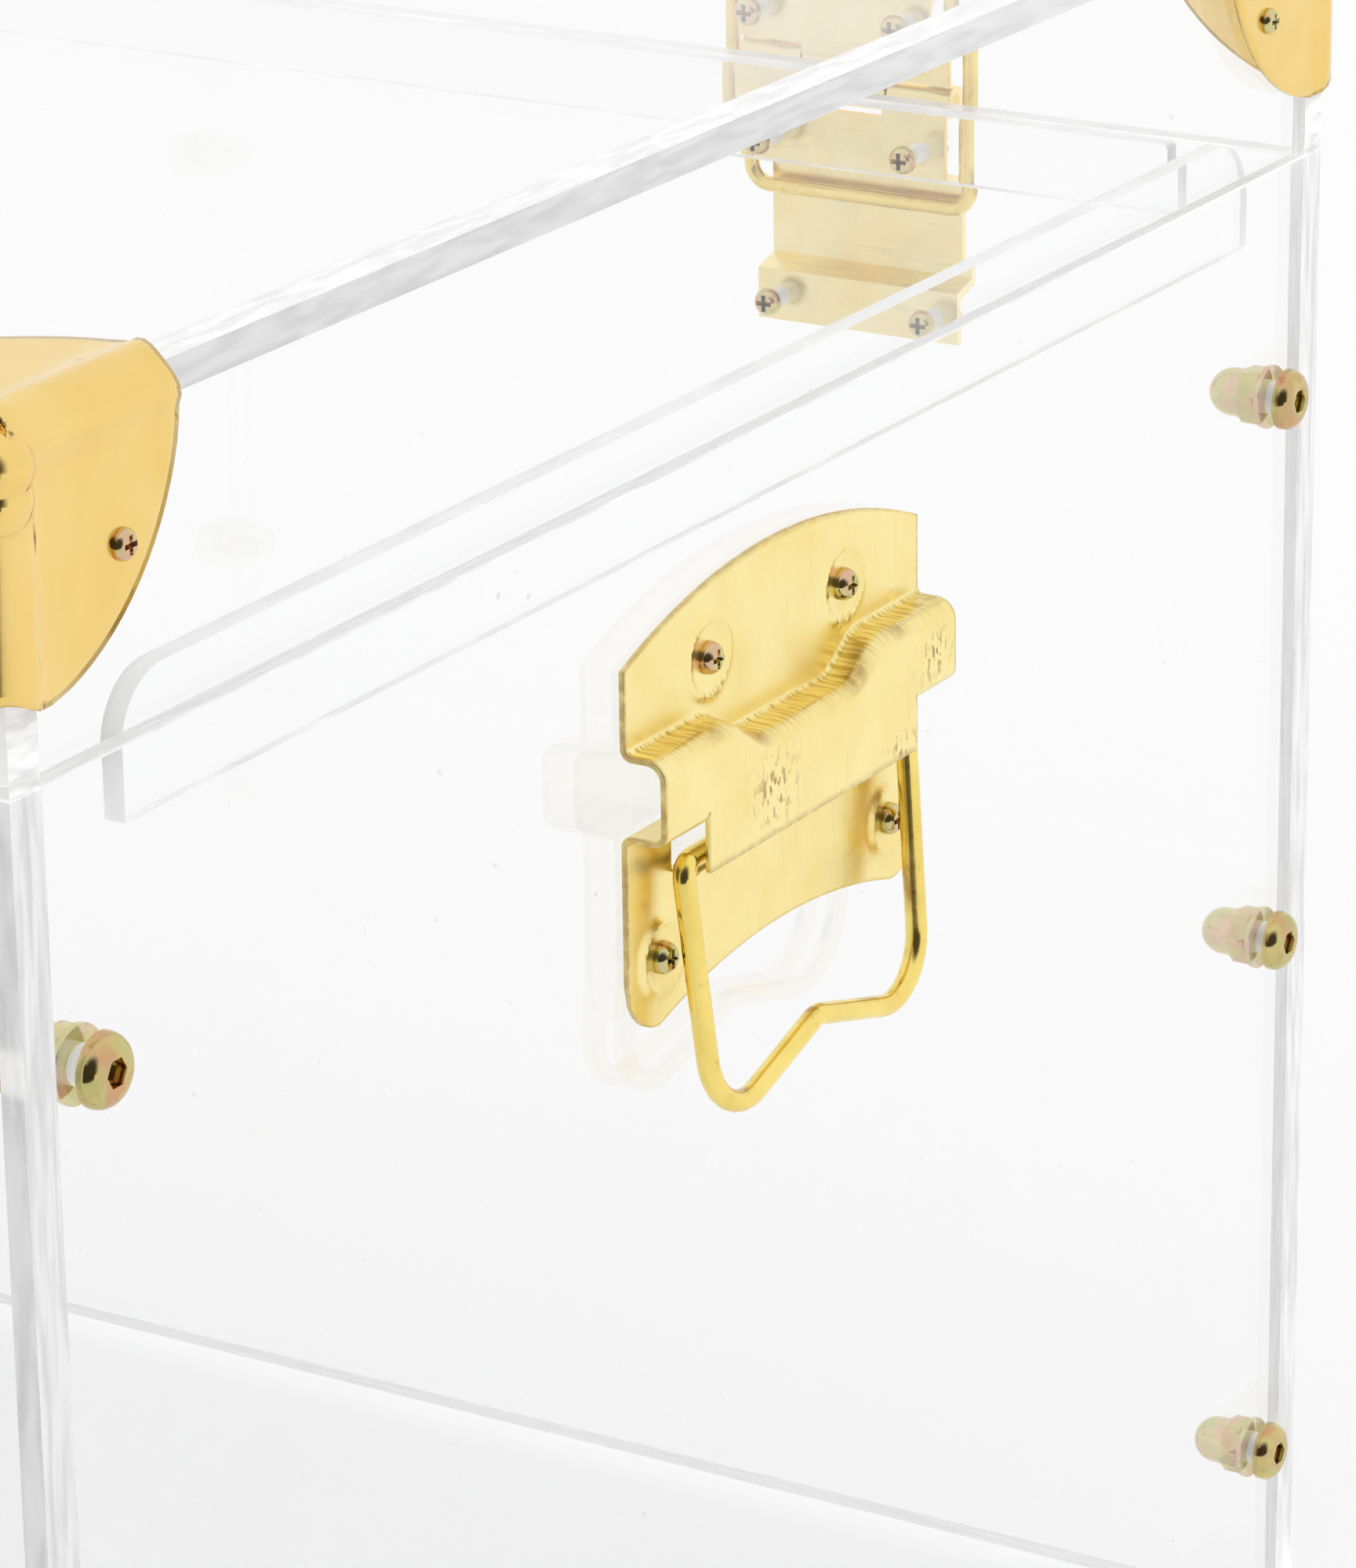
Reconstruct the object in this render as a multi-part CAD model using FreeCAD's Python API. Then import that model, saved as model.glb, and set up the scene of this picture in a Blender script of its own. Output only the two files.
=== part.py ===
import FreeCAD, Part
import math
import os

# Clear acrylic make-up trunk case with brass-plated trunk hardware.
# Units are millimetres. +X runs along the case, +Y points to the hinged back, +Z is up.
# The origin is under the middle of the case, on the surface that its feet stand on.

V = FreeCAD.Vector

# ---- driving dimensions -------------------------------------------------------------
LENGTH = 440.0
DEPTH = 338.0
BODY_HEIGHT = 252.0
LID_HEIGHT = 43.0
WALL = 6.0
LID_WALL = 5.7
LID_GAP = 0.3
FOOT_HEIGHT = 3.0
FOOT_RADIUS = 7.0
FOOT_INSET = 20.0

# rim strips, glued inside the body walls; the lid drops over them
STRIP_THICK = 3.0
STRIP_RISE = 6.5
STRIP_DROP = 11.0
STRIP_SETBACK = {"front": 25.3, "back": 21.0}
STRIP_CORNER = 9.0
FLUSH_STRIP_CORNER = 1.0

# bolts through the end walls, with washers and dome nuts inside
BOLT_EDGE = {"front": 14.3, "back": 11.1}
BOLT_FIRST_DROP = 37.2
BOLT_PITCH = 89.5
BOLT_ROWS = 3
BOLT_R = 2.5
BOLT_HEAD_R = 4.75
BOLT_HEAD_H = 2.7
SOCKET_ACROSS = 3.2
SOCKET_DEPTH = 1.7
WASHER_R = 5.0
WASHER_H = 0.9
DOME_NUT_ACROSS = 8.0
DOME_NUT_HEX_H = 3.7
DOME_NUT_DOME_H = 5.7

# small machine screws and nuts (3 mm thread)
SCREW_R = 1.5
SCREW_HEAD_R = 2.3
SCREW_HEAD_H = 2.0
NUT_ACROSS = 5.5
NUT_H = 2.4
NUT_REACH = 3.0
HOLE_PLAY = 0.1
BOTTOM_PLAY = 0.5

# stamped end handle: u runs across, v is the height from the rim, w stands off the wall
PLATE_T = 0.9
PLATE_HALF = 39.2
PLATE_SHOULDER_V = -23.1
PLATE_APEX_V = -15.4
BARREL_TOP_V = -34.5
BARREL_BOTTOM_V = -46.5
BARREL_OUT = 7.0
BARREL_CORNER = 3.0
BARREL_DIP = 4.5
DIP_FLAT_HALF = 11.0
DIP_RAMP_HALF = 21.5
APRON_HALF = 27.7
APRON_BOTTOM_V = -53.3
LOBE_SIDE_V = -66.5
LOBE_KNEE = (37.0, -72.3)
LOBE_BOTTOM = (31.5, -74.7)
ARCH_V = -70.1
UPPER_SCREW = (18.0, -27.2)
LOWER_SCREW = (30.7, -65.3)
HANDLE_HEAD_H = 1.8

# bail of round wire, hung from the fold behind the apron
WIRE_R = 1.55
PIVOT_W = 3.9
PIVOT_V = -51.7
BAIL_LEAN_DEG = 5.2
BAIL_TOP_HALF = 30.3
BAIL_FOOT_HALF = 28.0
BAIL_FOOT_S = 39.2
BAIL_PEAK_S = 31.4
BAIL_END_U = 18.0
BAIL_RADII = (2.4, 9.0, 5.0)
PIVOT_PLAY = 0.05

# stop hinges on the back: y stands off the back wall, z is the height from the pin
HINGE_X = 135.0
LEAF_T = 1.2
LEAF_HALF = 17.4
PIN_Y = 2.75
PIN_R = 1.25
KNUCKLE_R = 2.5
KNUCKLE_SPLIT = 6.0
KNUCKLE_GAP = 0.2
FLANGE_START = 2.9
FLANGE_END = 11.2
RAMP = 1.5
CHANNEL_OUT = 6.2
CHANNEL_END = 29.3
LEAF_END = 39.2
HINGE_SCREW_X = 13.3
HINGE_SCREW_Z = (7.8, 35.2)
LOOP_HALF_X = 20.0
LOOP_HALF_Z = 17.5
LOOP_WIRE_R = 1.25
LOOP_CORNER = 3.4

# lid corner protectors
CORNER_T = 1.2
CORNER_REACH = 34.5
CORNER_EDGE_R = 0.5
BOSS_R = 5.0
BOSS_SINK = 2.0
CORNER_SCREW_IN = 21.7
CORNER_SCREW_DOWN = 18.7
CORNER_SCREW_R = 1.1
CORNER_SCREW_LEN = 5.0
CORNER_HEAD_R = 2.0
CORNER_HEAD_H = 1.3

# front hook latch: u runs across, v is the height from the rim, w stands off the wall
LATCH_PLATE_T = 1.0
LATCH_PLATE_HALF = 17.0
LATCH_PLATE_TALL = 18.0
LATCH_PLATE_CORNER = 4.0
LATCH_PIVOT_V = -15.0
LATCH_STUD_V = 12.0
LATCH_SCREW_U = 12.0
LATCH_SCREW_HEAD_H = 1.4
LATCH_POST_R = 2.0
LATCH_HEAD_R = 4.0
LATCH_STANDOFF = 2.8
LATCH_OUT = 6.2
LATCH_HEAD_T = 1.2
HOOK_T = 1.8
HOOK_PLAY = 0.2
HOOK_BAR_HALF = 3.5
HOOK_EYE_R = 6.0
HOOK_HEAD_HALF = 7.5
HOOK_HEAD_INNER = 21.0
HOOK_HEAD_OUTER = 34.0
HOOK_THROAT = 2.4

# ---- places that follow from them ---------------------------------------------------
END_X = LENGTH / 2
BACK_Y = DEPTH / 2
BASE_Z = FOOT_HEIGHT
RIM_Z = FOOT_HEIGHT + BODY_HEIGHT
LID_Z = RIM_Z + LID_GAP
TOP_Z = LID_Z + LID_HEIGHT
SIDES = {"left": -1, "right": 1}
FACES = {"front": -1, "back": 1}


# ---- helpers ------------------------------------------------------------------------
def block(x_range, y_range, z_range):
    """A box between two limits on each axis."""
    low = V(x_range[0], y_range[0], z_range[0])
    return Part.makeBox(x_range[1] - x_range[0], y_range[1] - y_range[0], z_range[1] - z_range[0], low)


def rod(start, direction, radius, length):
    return Part.makeCylinder(radius, length, start, direction)


def sheet(edges, thickness, direction):
    """A closed outline raised to a plate."""
    return Part.Face(Part.Wire(edges)).extrude(direction * thickness)


def polygon_face(points):
    return Part.Face(Part.makePolygon(points + [points[0]]))


def hex_prism(start, direction, across, height):
    """A hexagonal bar whose flats face up and down."""
    corner_r = across / math.sqrt(3)
    side = direction.cross(V(0, 0, 1))
    if side.Length < 0.5:
        side = V(1, 0, 0)
    up = side.cross(direction)
    corners = []
    for step in range(6):
        angle = math.radians(60 * step)
        corners.append(start + side * (corner_r * math.cos(angle)) + up * (corner_r * math.sin(angle)))
    return polygon_face(corners).extrude(direction * height)


def cut_all(shape, tools):
    return shape.cut(Part.makeCompound(tools)) if tools else shape


def rounded_path(points, radii):
    """Edges of a polyline whose inner corners are turned into arcs."""
    edges = []
    start = points[0]
    for before, corner, after, radius in zip(points, points[1:], points[2:], radii):
        inward = (before - corner).normalize()
        outward = (after - corner).normalize()
        half_turn = inward.getAngle(outward) / 2
        reach = radius / math.tan(half_turn)
        arc_start = corner + inward * reach
        arc_end = corner + outward * reach
        bisector = (inward + outward).normalize()
        arc_mid = corner + bisector * (radius / math.sin(half_turn) - radius)
        edges.append(Part.LineSegment(start, arc_start).toShape())
        edges.append(Part.Arc(arc_start, arc_mid, arc_end).toShape())
        start = arc_end
    edges.append(Part.LineSegment(start, points[-1]).toShape())
    return edges


def wire_rod(edges, radius):
    """A round wire bent along a path."""
    path = Part.Wire(edges)
    first = edges[0]
    start = first.valueAt(first.FirstParameter)
    direction = first.tangentAt(first.FirstParameter)
    section = Part.Wire(Part.makeCircle(radius, start, direction))
    return path.makePipeShell([section], True, False)


# ---- fasteners ----------------------------------------------------------------------
def pan_screw(seat, out, shank_length, head_r=SCREW_HEAD_R, head_h=SCREW_HEAD_H, shank_r=SCREW_R):
    """A pan-head screw: seat is the middle of the underside of its head."""
    head = rod(seat, out, head_r, head_h)
    top_edge = max(head.Edges, key=lambda edge: edge.CenterOfMass.dot(out))
    head = head.makeFillet(0.7 * head_h, [top_edge])
    return head.fuse(rod(seat, out * -1, shank_r, shank_length)).removeSplitter()


def hex_nut(seat, inward):
    nut = hex_prism(seat, inward, NUT_ACROSS, NUT_H)
    return nut.cut(rod(seat, inward, SCREW_R, NUT_H))


def clearance(seat, out, depth, shank_r=SCREW_R):
    """The tool that drills a screw's hole, from a little outside the seat inwards."""
    return rod(seat + out, out * -1, shank_r + HOLE_PLAY, depth + 1)


def button_bolt(seat, out, shank_length):
    head = rod(seat, out, BOLT_HEAD_R, BOLT_HEAD_H)
    top_edge = max(head.Edges, key=lambda edge: edge.CenterOfMass.dot(out))
    head = head.makeFillet(0.75 * BOLT_HEAD_H, [top_edge])
    top = seat + out * BOLT_HEAD_H
    head = head.cut(hex_prism(top, out * -1, SOCKET_ACROSS, SOCKET_DEPTH))
    return head.fuse(rod(seat, out * -1, BOLT_R, shank_length)).removeSplitter()


def ring_washer(seat, inward):
    return rod(seat, inward, WASHER_R, WASHER_H).cut(rod(seat, inward, BOLT_R, WASHER_H))


def dome_nut(seat, inward, bore_depth):
    body = hex_prism(seat, inward, DOME_NUT_ACROSS, DOME_NUT_HEX_H)
    dome_r = DOME_NUT_ACROSS / 2 - 0.2
    neck_h = DOME_NUT_DOME_H - dome_r
    neck = rod(seat + inward * DOME_NUT_HEX_H, inward, dome_r, neck_h)
    ball = Part.makeSphere(dome_r, seat + inward * (DOME_NUT_HEX_H + neck_h))
    return body.fuse([neck, ball]).removeSplitter().cut(rod(seat, inward, BOLT_R, bore_depth))


# ---- where the fasteners sit --------------------------------------------------------
def bolt_seats(side):
    """Seats of one end wall's bolts, on its outer face."""
    seats = []
    for name, face in FACES.items():
        for row in range(BOLT_ROWS):
            y = face * (BACK_Y - BOLT_EDGE[name])
            z = RIM_Z - BOLT_FIRST_DROP - row * BOLT_PITCH
            seats.append(V(side * END_X, y, z))
    return seats


def handle_seats(side):
    """Seats of one handle's screws, on the wall's outer face."""
    seats = []
    for u, v in (UPPER_SCREW, LOWER_SCREW):
        for hand in (-1, 1):
            seats.append(V(side * END_X, hand * u, RIM_Z + v))
    return seats


def hinge_seats(upward):
    """Seats of the screws of both hinges' body leaves (-1) or lid leaves (+1)."""
    seats = []
    for side in SIDES.values():
        for z in HINGE_SCREW_Z:
            for hand in (-1, 1):
                x = side * HINGE_X + hand * HINGE_SCREW_X
                seats.append(V(x, BACK_Y, RIM_Z + upward * z))
    return seats


def latch_seats(v):
    return [V(hand * LATCH_SCREW_U, -BACK_Y, RIM_Z + v) for hand in (-1, 1)]


def corner_screw_seats():
    """Seat and outward direction of the screws of the four lid corner protectors."""
    seats = []
    for side in SIDES.values():
        for face in FACES.values():
            corner = V(side * END_X, face * BACK_Y, TOP_Z)
            inward = V(-side * CORNER_SCREW_IN, -face * CORNER_SCREW_IN, -CORNER_SCREW_DOWN)
            seats.append((corner + V(CORNER_T * side, inward.y, inward.z), V(side, 0, 0)))
            seats.append((corner + V(inward.x, CORNER_T * face, inward.z), V(0, face, 0)))
            seats.append((corner + V(inward.x, inward.y, CORNER_T), V(0, 0, 1)))
    return seats


# ---- acrylic body and lid -----------------------------------------------------------
def body_panels():
    inner_x = END_X - WALL
    inner_y = BACK_Y - WALL
    height = (BASE_Z, RIM_Z)
    through = WALL + STRIP_THICK + 1
    front = block((-END_X, END_X), (-BACK_Y, -inner_y), height)
    front_holes = [clearance(seat, V(0, -1, 0), through) for seat in latch_seats(LATCH_PIVOT_V)]
    pivot = V(0, -BACK_Y, RIM_Z + LATCH_PIVOT_V)
    front_holes.append(clearance(pivot, V(0, -1, 0), through, LATCH_POST_R))
    back = block((-END_X, END_X), (inner_y, BACK_Y), height)
    back_holes = [clearance(seat, V(0, 1, 0), through) for seat in hinge_seats(-1)]
    panels = {
        "body_front_panel": cut_all(front, front_holes),
        "body_back_panel": cut_all(back, back_holes),
        "body_base_panel": block((-inner_x, inner_x), (-inner_y, inner_y), (BASE_Z, BASE_Z + WALL)),
    }
    for name, side in SIDES.items():
        x_range = sorted((side * END_X, side * inner_x))
        panel = block(x_range, (-inner_y, inner_y), height)
        out = V(side, 0, 0)
        holes = [clearance(seat, out, through, BOLT_R) for seat in bolt_seats(side)]
        holes += [clearance(seat, out, through) for seat in handle_seats(side)]
        panels["body_" + name + "_panel"] = cut_all(panel, holes)
    return panels


def strip_outline(start, end, rise, corner=STRIP_CORNER):
    """A strip standing on the inside of a wall from start to end, its top corners rounded."""
    low = V(0, 0, RIM_Z - STRIP_DROP)
    high = V(0, 0, RIM_Z + rise)
    points = [start + low, start + high, end + high, end + low]
    edges = rounded_path(points, (corner, corner))
    edges.append(Part.LineSegment(end + low, start + low).toShape())
    return edges


def rim_strips():
    strips = {}
    for name, side in SIDES.items():
        x = side * (END_X - WALL)
        start = V(x, STRIP_SETBACK["front"] - BACK_Y, 0)
        edges = strip_outline(start, V(x, BACK_Y - STRIP_SETBACK["back"], 0), STRIP_RISE)
        strips["rim_strip_" + name] = sheet(edges, STRIP_THICK, V(-side, 0, 0))
    through = WALL + STRIP_THICK + 1
    drills = [clearance(seat, V(0, 1, 0), through) for seat in hinge_seats(-1)]
    half = END_X - STRIP_SETBACK["front"]
    for name, face in FACES.items():
        y = face * (BACK_Y - WALL)
        rise, corner = (STRIP_RISE, STRIP_CORNER) if name == "front" else (0, FLUSH_STRIP_CORNER)
        outline = strip_outline(V(-half, y, 0), V(half, y, 0), rise, corner)
        strip = sheet(outline, STRIP_THICK, V(0, -face, 0))
        strips["rim_strip_" + name] = cut_all(strip, drills if name == "back" else [])
    return strips


def lid_panels():
    inner_x = END_X - LID_WALL
    inner_y = BACK_Y - LID_WALL
    height = (LID_Z, TOP_Z)
    drills = []
    for seat, out in corner_screw_seats():
        drills.append(clearance(seat, out, CORNER_SCREW_LEN, CORNER_SCREW_R))
    drills += [clearance(seat, V(0, 1, 0), LID_WALL) for seat in hinge_seats(1)]
    drills += [clearance(seat, V(0, -1, 0), LID_WALL) for seat in latch_seats(LATCH_STUD_V)]
    panels = {
        "lid_top_panel": block((-inner_x, inner_x), (-inner_y, inner_y), (TOP_Z - LID_WALL, TOP_Z)),
        "lid_front_panel": block((-END_X, END_X), (-BACK_Y, -inner_y), height),
        "lid_back_panel": block((-END_X, END_X), (inner_y, BACK_Y), height),
    }
    for name, side in SIDES.items():
        x_range = sorted((side * END_X, side * inner_x))
        panels["lid_" + name + "_panel"] = block(x_range, (-inner_y, inner_y), height)
    return {name: cut_all(panel, drills) for name, panel in panels.items()}


def feet():
    """Clear rubber buttons under the base."""
    pieces = {}
    for side_name, side in SIDES.items():
        for face_name, face in FACES.items():
            centre = V(side * (END_X - FOOT_INSET), face * (BACK_Y - FOOT_INSET), 0)
            foot = Part.makeCone(FOOT_RADIUS - 1.5, FOOT_RADIUS, FOOT_HEIGHT, centre)
            pieces["foot_" + face_name + "_" + side_name] = foot
    return pieces


def end_wall_fasteners():
    bolts, washers, nuts = [], [], []
    for side in SIDES.values():
        out = V(side, 0, 0)
        for seat in bolt_seats(side):
            inside = seat - out * WALL
            bore = DOME_NUT_HEX_H + 1.5
            bolts.append(button_bolt(seat, out, WALL + WASHER_H + bore - BOTTOM_PLAY))
            washers.append(ring_washer(inside, out * -1))
            nuts.append(dome_nut(inside - out * WASHER_H, out * -1, bore))
    return {
        "wall_bolts": Part.makeCompound(bolts),
        "wall_washers": Part.makeCompound(washers),
        "dome_nuts": Part.makeCompound(nuts),
    }


# ---- end handles --------------------------------------------------------------------
def quarter(centre, radius, start_deg, end_deg):
    """Points round a quarter turn in the w-v plane."""
    points = []
    for step in range(5):
        angle = math.radians(start_deg + (end_deg - start_deg) * step / 4)
        points.append((centre[0] + radius * math.cos(angle), centre[1] + radius * math.sin(angle)))
    return points


def barrel_section(u, dip, is_ear):
    """Section of the raised barrel across the plate: a folded sheet of even thickness."""
    top = BARREL_TOP_V - dip
    knee = (BARREL_OUT - BARREL_CORNER, top - BARREL_CORNER)
    outer = [(PLATE_T, BARREL_TOP_V + 1), (PLATE_T, top)]
    outer += quarter(knee, BARREL_CORNER, 90, 0)
    inner = quarter(knee, BARREL_CORNER - PLATE_T, 0, 90)
    inner += [(0, top - PLATE_T), (0, BARREL_TOP_V + 1)]
    if is_ear:
        foot_r = 2.0
        low_knee = (BARREL_OUT - foot_r, BARREL_BOTTOM_V + foot_r)
        outer += quarter(low_knee, foot_r, 0, -90)
        outer += [(PLATE_T, BARREL_BOTTOM_V), (PLATE_T, BARREL_BOTTOM_V - 1), (0, BARREL_BOTTOM_V - 1)]
        outer += [(0, BARREL_BOTTOM_V + PLATE_T)]
        outer += quarter(low_knee, foot_r - PLATE_T, -90, 0)
    else:
        outer += [(BARREL_OUT, APRON_BOTTOM_V), (BARREL_OUT - PLATE_T, APRON_BOTTOM_V)]
    corners = [V(w, u, v) for w, v in outer + inner]
    return Part.makePolygon(corners + [corners[0]])


def barrel():
    """The barrel from ear to ear: closed at both ears, with a free apron between them."""
    stations = [(-APRON_HALF, 0), (-DIP_RAMP_HALF, 0), (-DIP_FLAT_HALF, BARREL_DIP)]
    stations += [(-u, dip) for u, dip in reversed(stations)]
    pieces = []
    for (u0, dip0), (u1, dip1) in zip(stations, stations[1:]):
        sections = [barrel_section(u0, dip0, False), barrel_section(u1, dip1, False)]
        pieces.append(Part.makeLoft(sections, True, True))
    for start in (-PLATE_HALF, APRON_HALF):
        face = Part.Face(barrel_section(start, 0, True))
        pieces.append(face.extrude(V(0, PLATE_HALF - APRON_HALF, 0)))
    return pieces


def handle_plate():
    """The stamped plate, standing on the plane x = 0, with the rim at z = 0."""
    def at(u, v):
        return V(0, u, v)

    half = PLATE_HALF
    low = BARREL_TOP_V
    upper = [
        Part.LineSegment(at(-half, low), at(-half, PLATE_SHOULDER_V)).toShape(),
        Part.Arc(at(-half, PLATE_SHOULDER_V), at(0, PLATE_APEX_V), at(half, PLATE_SHOULDER_V)).toShape(),
        Part.LineSegment(at(half, PLATE_SHOULDER_V), at(half, low)).toShape(),
        Part.LineSegment(at(half, low), at(-half, low)).toShape(),
    ]
    fold_v = APRON_BOTTOM_V - PLATE_T
    bottom = LOBE_BOTTOM
    lower = [
        Part.makePolygon([
            at(-half, LOBE_SIDE_V), at(-half, BARREL_BOTTOM_V), at(-APRON_HALF, BARREL_BOTTOM_V),
            at(-APRON_HALF, fold_v), at(APRON_HALF, fold_v), at(APRON_HALF, BARREL_BOTTOM_V),
            at(half, BARREL_BOTTOM_V), at(half, LOBE_SIDE_V),
        ]),
        Part.Arc(at(half, LOBE_SIDE_V), at(*LOBE_KNEE), at(*bottom)).toShape(),
        Part.Arc(at(*bottom), at(0, ARCH_V), at(-bottom[0], bottom[1])).toShape(),
        Part.Arc(at(-bottom[0], bottom[1]), at(-LOBE_KNEE[0], LOBE_KNEE[1]), at(-half, LOBE_SIDE_V)).toShape(),
    ]
    lower_edges = [edge for piece in lower for edge in piece.Edges]
    plate = sheet(upper, PLATE_T, V(1, 0, 0)).fuse([sheet(lower_edges, PLATE_T, V(1, 0, 0))] + barrel())
    plate = plate.fuse(handle_fold()).removeSplitter()
    holes = []
    for u, v in (UPPER_SCREW, LOWER_SCREW):
        for hand in (-1, 1):
            holes.append(clearance(V(PLATE_T, hand * u, v), V(1, 0, 0), PLATE_T + 1))
    return cut_all(plate, holes)


def handle_fold():
    """The lip folded out of the lower plate, cradling the bail's ends behind the apron."""
    seat_r = WIRE_R + PIVOT_PLAY
    length = 2 * APRON_HALF
    start = V(PIVOT_W, -APRON_HALF, PIVOT_V)
    trough = rod(start, V(0, 1, 0), seat_r + PLATE_T, length)
    front_limit = PIVOT_W + 1.4
    keep = block((0, front_limit), (-APRON_HALF, APRON_HALF), (PIVOT_V - 5, PIVOT_V - 1))
    floor = block((0, PIVOT_W), (-APRON_HALF, APRON_HALF), (PIVOT_V - seat_r - PLATE_T, PIVOT_V - seat_r))
    lip = trough.common(keep).fuse(floor)
    return lip.cut(rod(start, V(0, 1, 0), seat_r, length)).removeSplitter()


def handle_bail():
    """The bail, hanging from its pivot and leaning out over the lower screws."""
    lean = math.radians(BAIL_LEAN_DEG)

    def at(u, s):
        return V(PIVOT_W + s * math.sin(lean), u, PIVOT_V - s * math.cos(lean))

    half = [(BAIL_END_U, 0), (BAIL_TOP_HALF, 0), (BAIL_FOOT_HALF, BAIL_FOOT_S)]
    points = [at(-u, s) for u, s in half] + [at(0, BAIL_PEAK_S)] + [at(u, s) for u, s in reversed(half)]
    top_r, foot_r, peak_r = BAIL_RADII
    return wire_rod(rounded_path(points, (top_r, foot_r, peak_r, foot_r, top_r)), WIRE_R)


def handles():
    pieces = {}
    plate = handle_plate()
    bail = handle_bail()
    for name, side in SIDES.items():
        turn = 0 if side > 0 else 180
        place = V(side * END_X, 0, RIM_Z)
        for node, shape in (("plate", plate), ("bail", bail)):
            copy = shape.copy()
            copy.rotate(V(0, 0, 0), V(0, 0, 1), turn)
            copy.translate(place)
            pieces["handle_" + name + "_" + node] = copy
        out = V(side, 0, 0)
        length = PLATE_T + WALL - BOTTOM_PLAY
        seats = [seat + out * PLATE_T for seat in handle_seats(side)]
        screws = [pan_screw(seat, out, length, head_h=HANDLE_HEAD_H) for seat in seats]
        pieces["handle_" + name + "_screws"] = Part.makeCompound(screws)
    return pieces


# ---- stop hinges --------------------------------------------------------------------
def hinge_leaf(upward):
    """One stamped leaf: flange, raised channel, flange. upward is -1 below the pin."""
    outer = [(LEAF_T, FLANGE_START), (LEAF_T, FLANGE_END), (CHANNEL_OUT, FLANGE_END + RAMP)]
    outer += [(CHANNEL_OUT, CHANNEL_END + LEAF_T), (LEAF_T, CHANNEL_END + LEAF_T + RAMP), (LEAF_T, LEAF_END)]
    inside = CHANNEL_OUT - LEAF_T
    inner = [(0, LEAF_END), (0, CHANNEL_END + RAMP), (inside, CHANNEL_END)]
    inner += [(inside, FLANGE_END + RAMP + LEAF_T), (0, FLANGE_END + LEAF_T), (0, FLANGE_START)]
    corners = [V(-LEAF_HALF, y, upward * z) for y, z in outer + inner]
    leaf = polygon_face(corners).extrude(V(2 * LEAF_HALF, 0, 0))
    if upward > 0:
        spans = [(-KNUCKLE_SPLIT + KNUCKLE_GAP, KNUCKLE_SPLIT - KNUCKLE_GAP)]
        bore_r = PIN_R + PIVOT_PLAY
    else:
        spans = [(-LEAF_HALF, -KNUCKLE_SPLIT - KNUCKLE_GAP), (KNUCKLE_SPLIT + KNUCKLE_GAP, LEAF_HALF)]
        bore_r = PIN_R
    for start, end in spans:
        knuckle = rod(V(start, PIN_Y, 0), V(1, 0, 0), KNUCKLE_R, end - start)
        root_z = sorted((upward * 1.0, upward * (FLANGE_START + 0.5)))
        root = block((start, end), (0, LEAF_T), root_z)
        leaf = leaf.fuse([knuckle, root])
    leaf = leaf.removeSplitter().cut(rod(V(-LEAF_HALF, PIN_Y, 0), V(1, 0, 0), bore_r, 2 * LEAF_HALF))
    holes = []
    for z in HINGE_SCREW_Z:
        for hand in (-1, 1):
            holes.append(clearance(V(hand * HINGE_SCREW_X, LEAF_T, upward * z), V(0, 1, 0), LEAF_T + 1))
    return cut_all(leaf, holes)


def stop_loop():
    """The closed wire loop whose two bars slide inside the leaves' channels."""
    low = V(0, PIN_Y, -LOOP_HALF_Z)
    corners = [V(x, PIN_Y, z) for x, z in (
        (LOOP_HALF_X, -LOOP_HALF_Z), (LOOP_HALF_X, LOOP_HALF_Z),
        (-LOOP_HALF_X, LOOP_HALF_Z), (-LOOP_HALF_X, -LOOP_HALF_Z))]
    return wire_rod(rounded_path([low] + corners + [low], [LOOP_CORNER] * 4), LOOP_WIRE_R)


def hinges():
    pieces = {}
    shapes = {
        "body_leaf": hinge_leaf(-1),
        "lid_leaf": hinge_leaf(1),
        "pin": rod(V(-LEAF_HALF, PIN_Y, 0), V(1, 0, 0), PIN_R, 2 * LEAF_HALF),
        "stop_loop": stop_loop(),
    }
    for name, side in SIDES.items():
        for node, shape in shapes.items():
            copy = shape.copy()
            copy.translate(V(side * HINGE_X, BACK_Y, RIM_Z))
            pieces["hinge_" + name + "_" + node] = copy
    out = V(0, 1, 0)
    for part, upward, wall in (("body", -1, WALL), ("lid", 1, LID_WALL)):
        screws, nuts = [], []
        for seat in hinge_seats(upward):
            near_rim = abs(seat.z - RIM_Z) < STRIP_DROP and upward < 0
            depth = wall + (STRIP_THICK if near_rim else 0)
            screws.append(pan_screw(seat - out * depth, out * -1, depth + LEAF_T + NUT_REACH))
            nuts.append(hex_nut(seat + out * LEAF_T, out))
        pieces["hinge_" + part + "_screws"] = Part.makeCompound(screws)
        pieces["hinge_" + part + "_nuts"] = Part.makeCompound(nuts)
    return pieces


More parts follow.
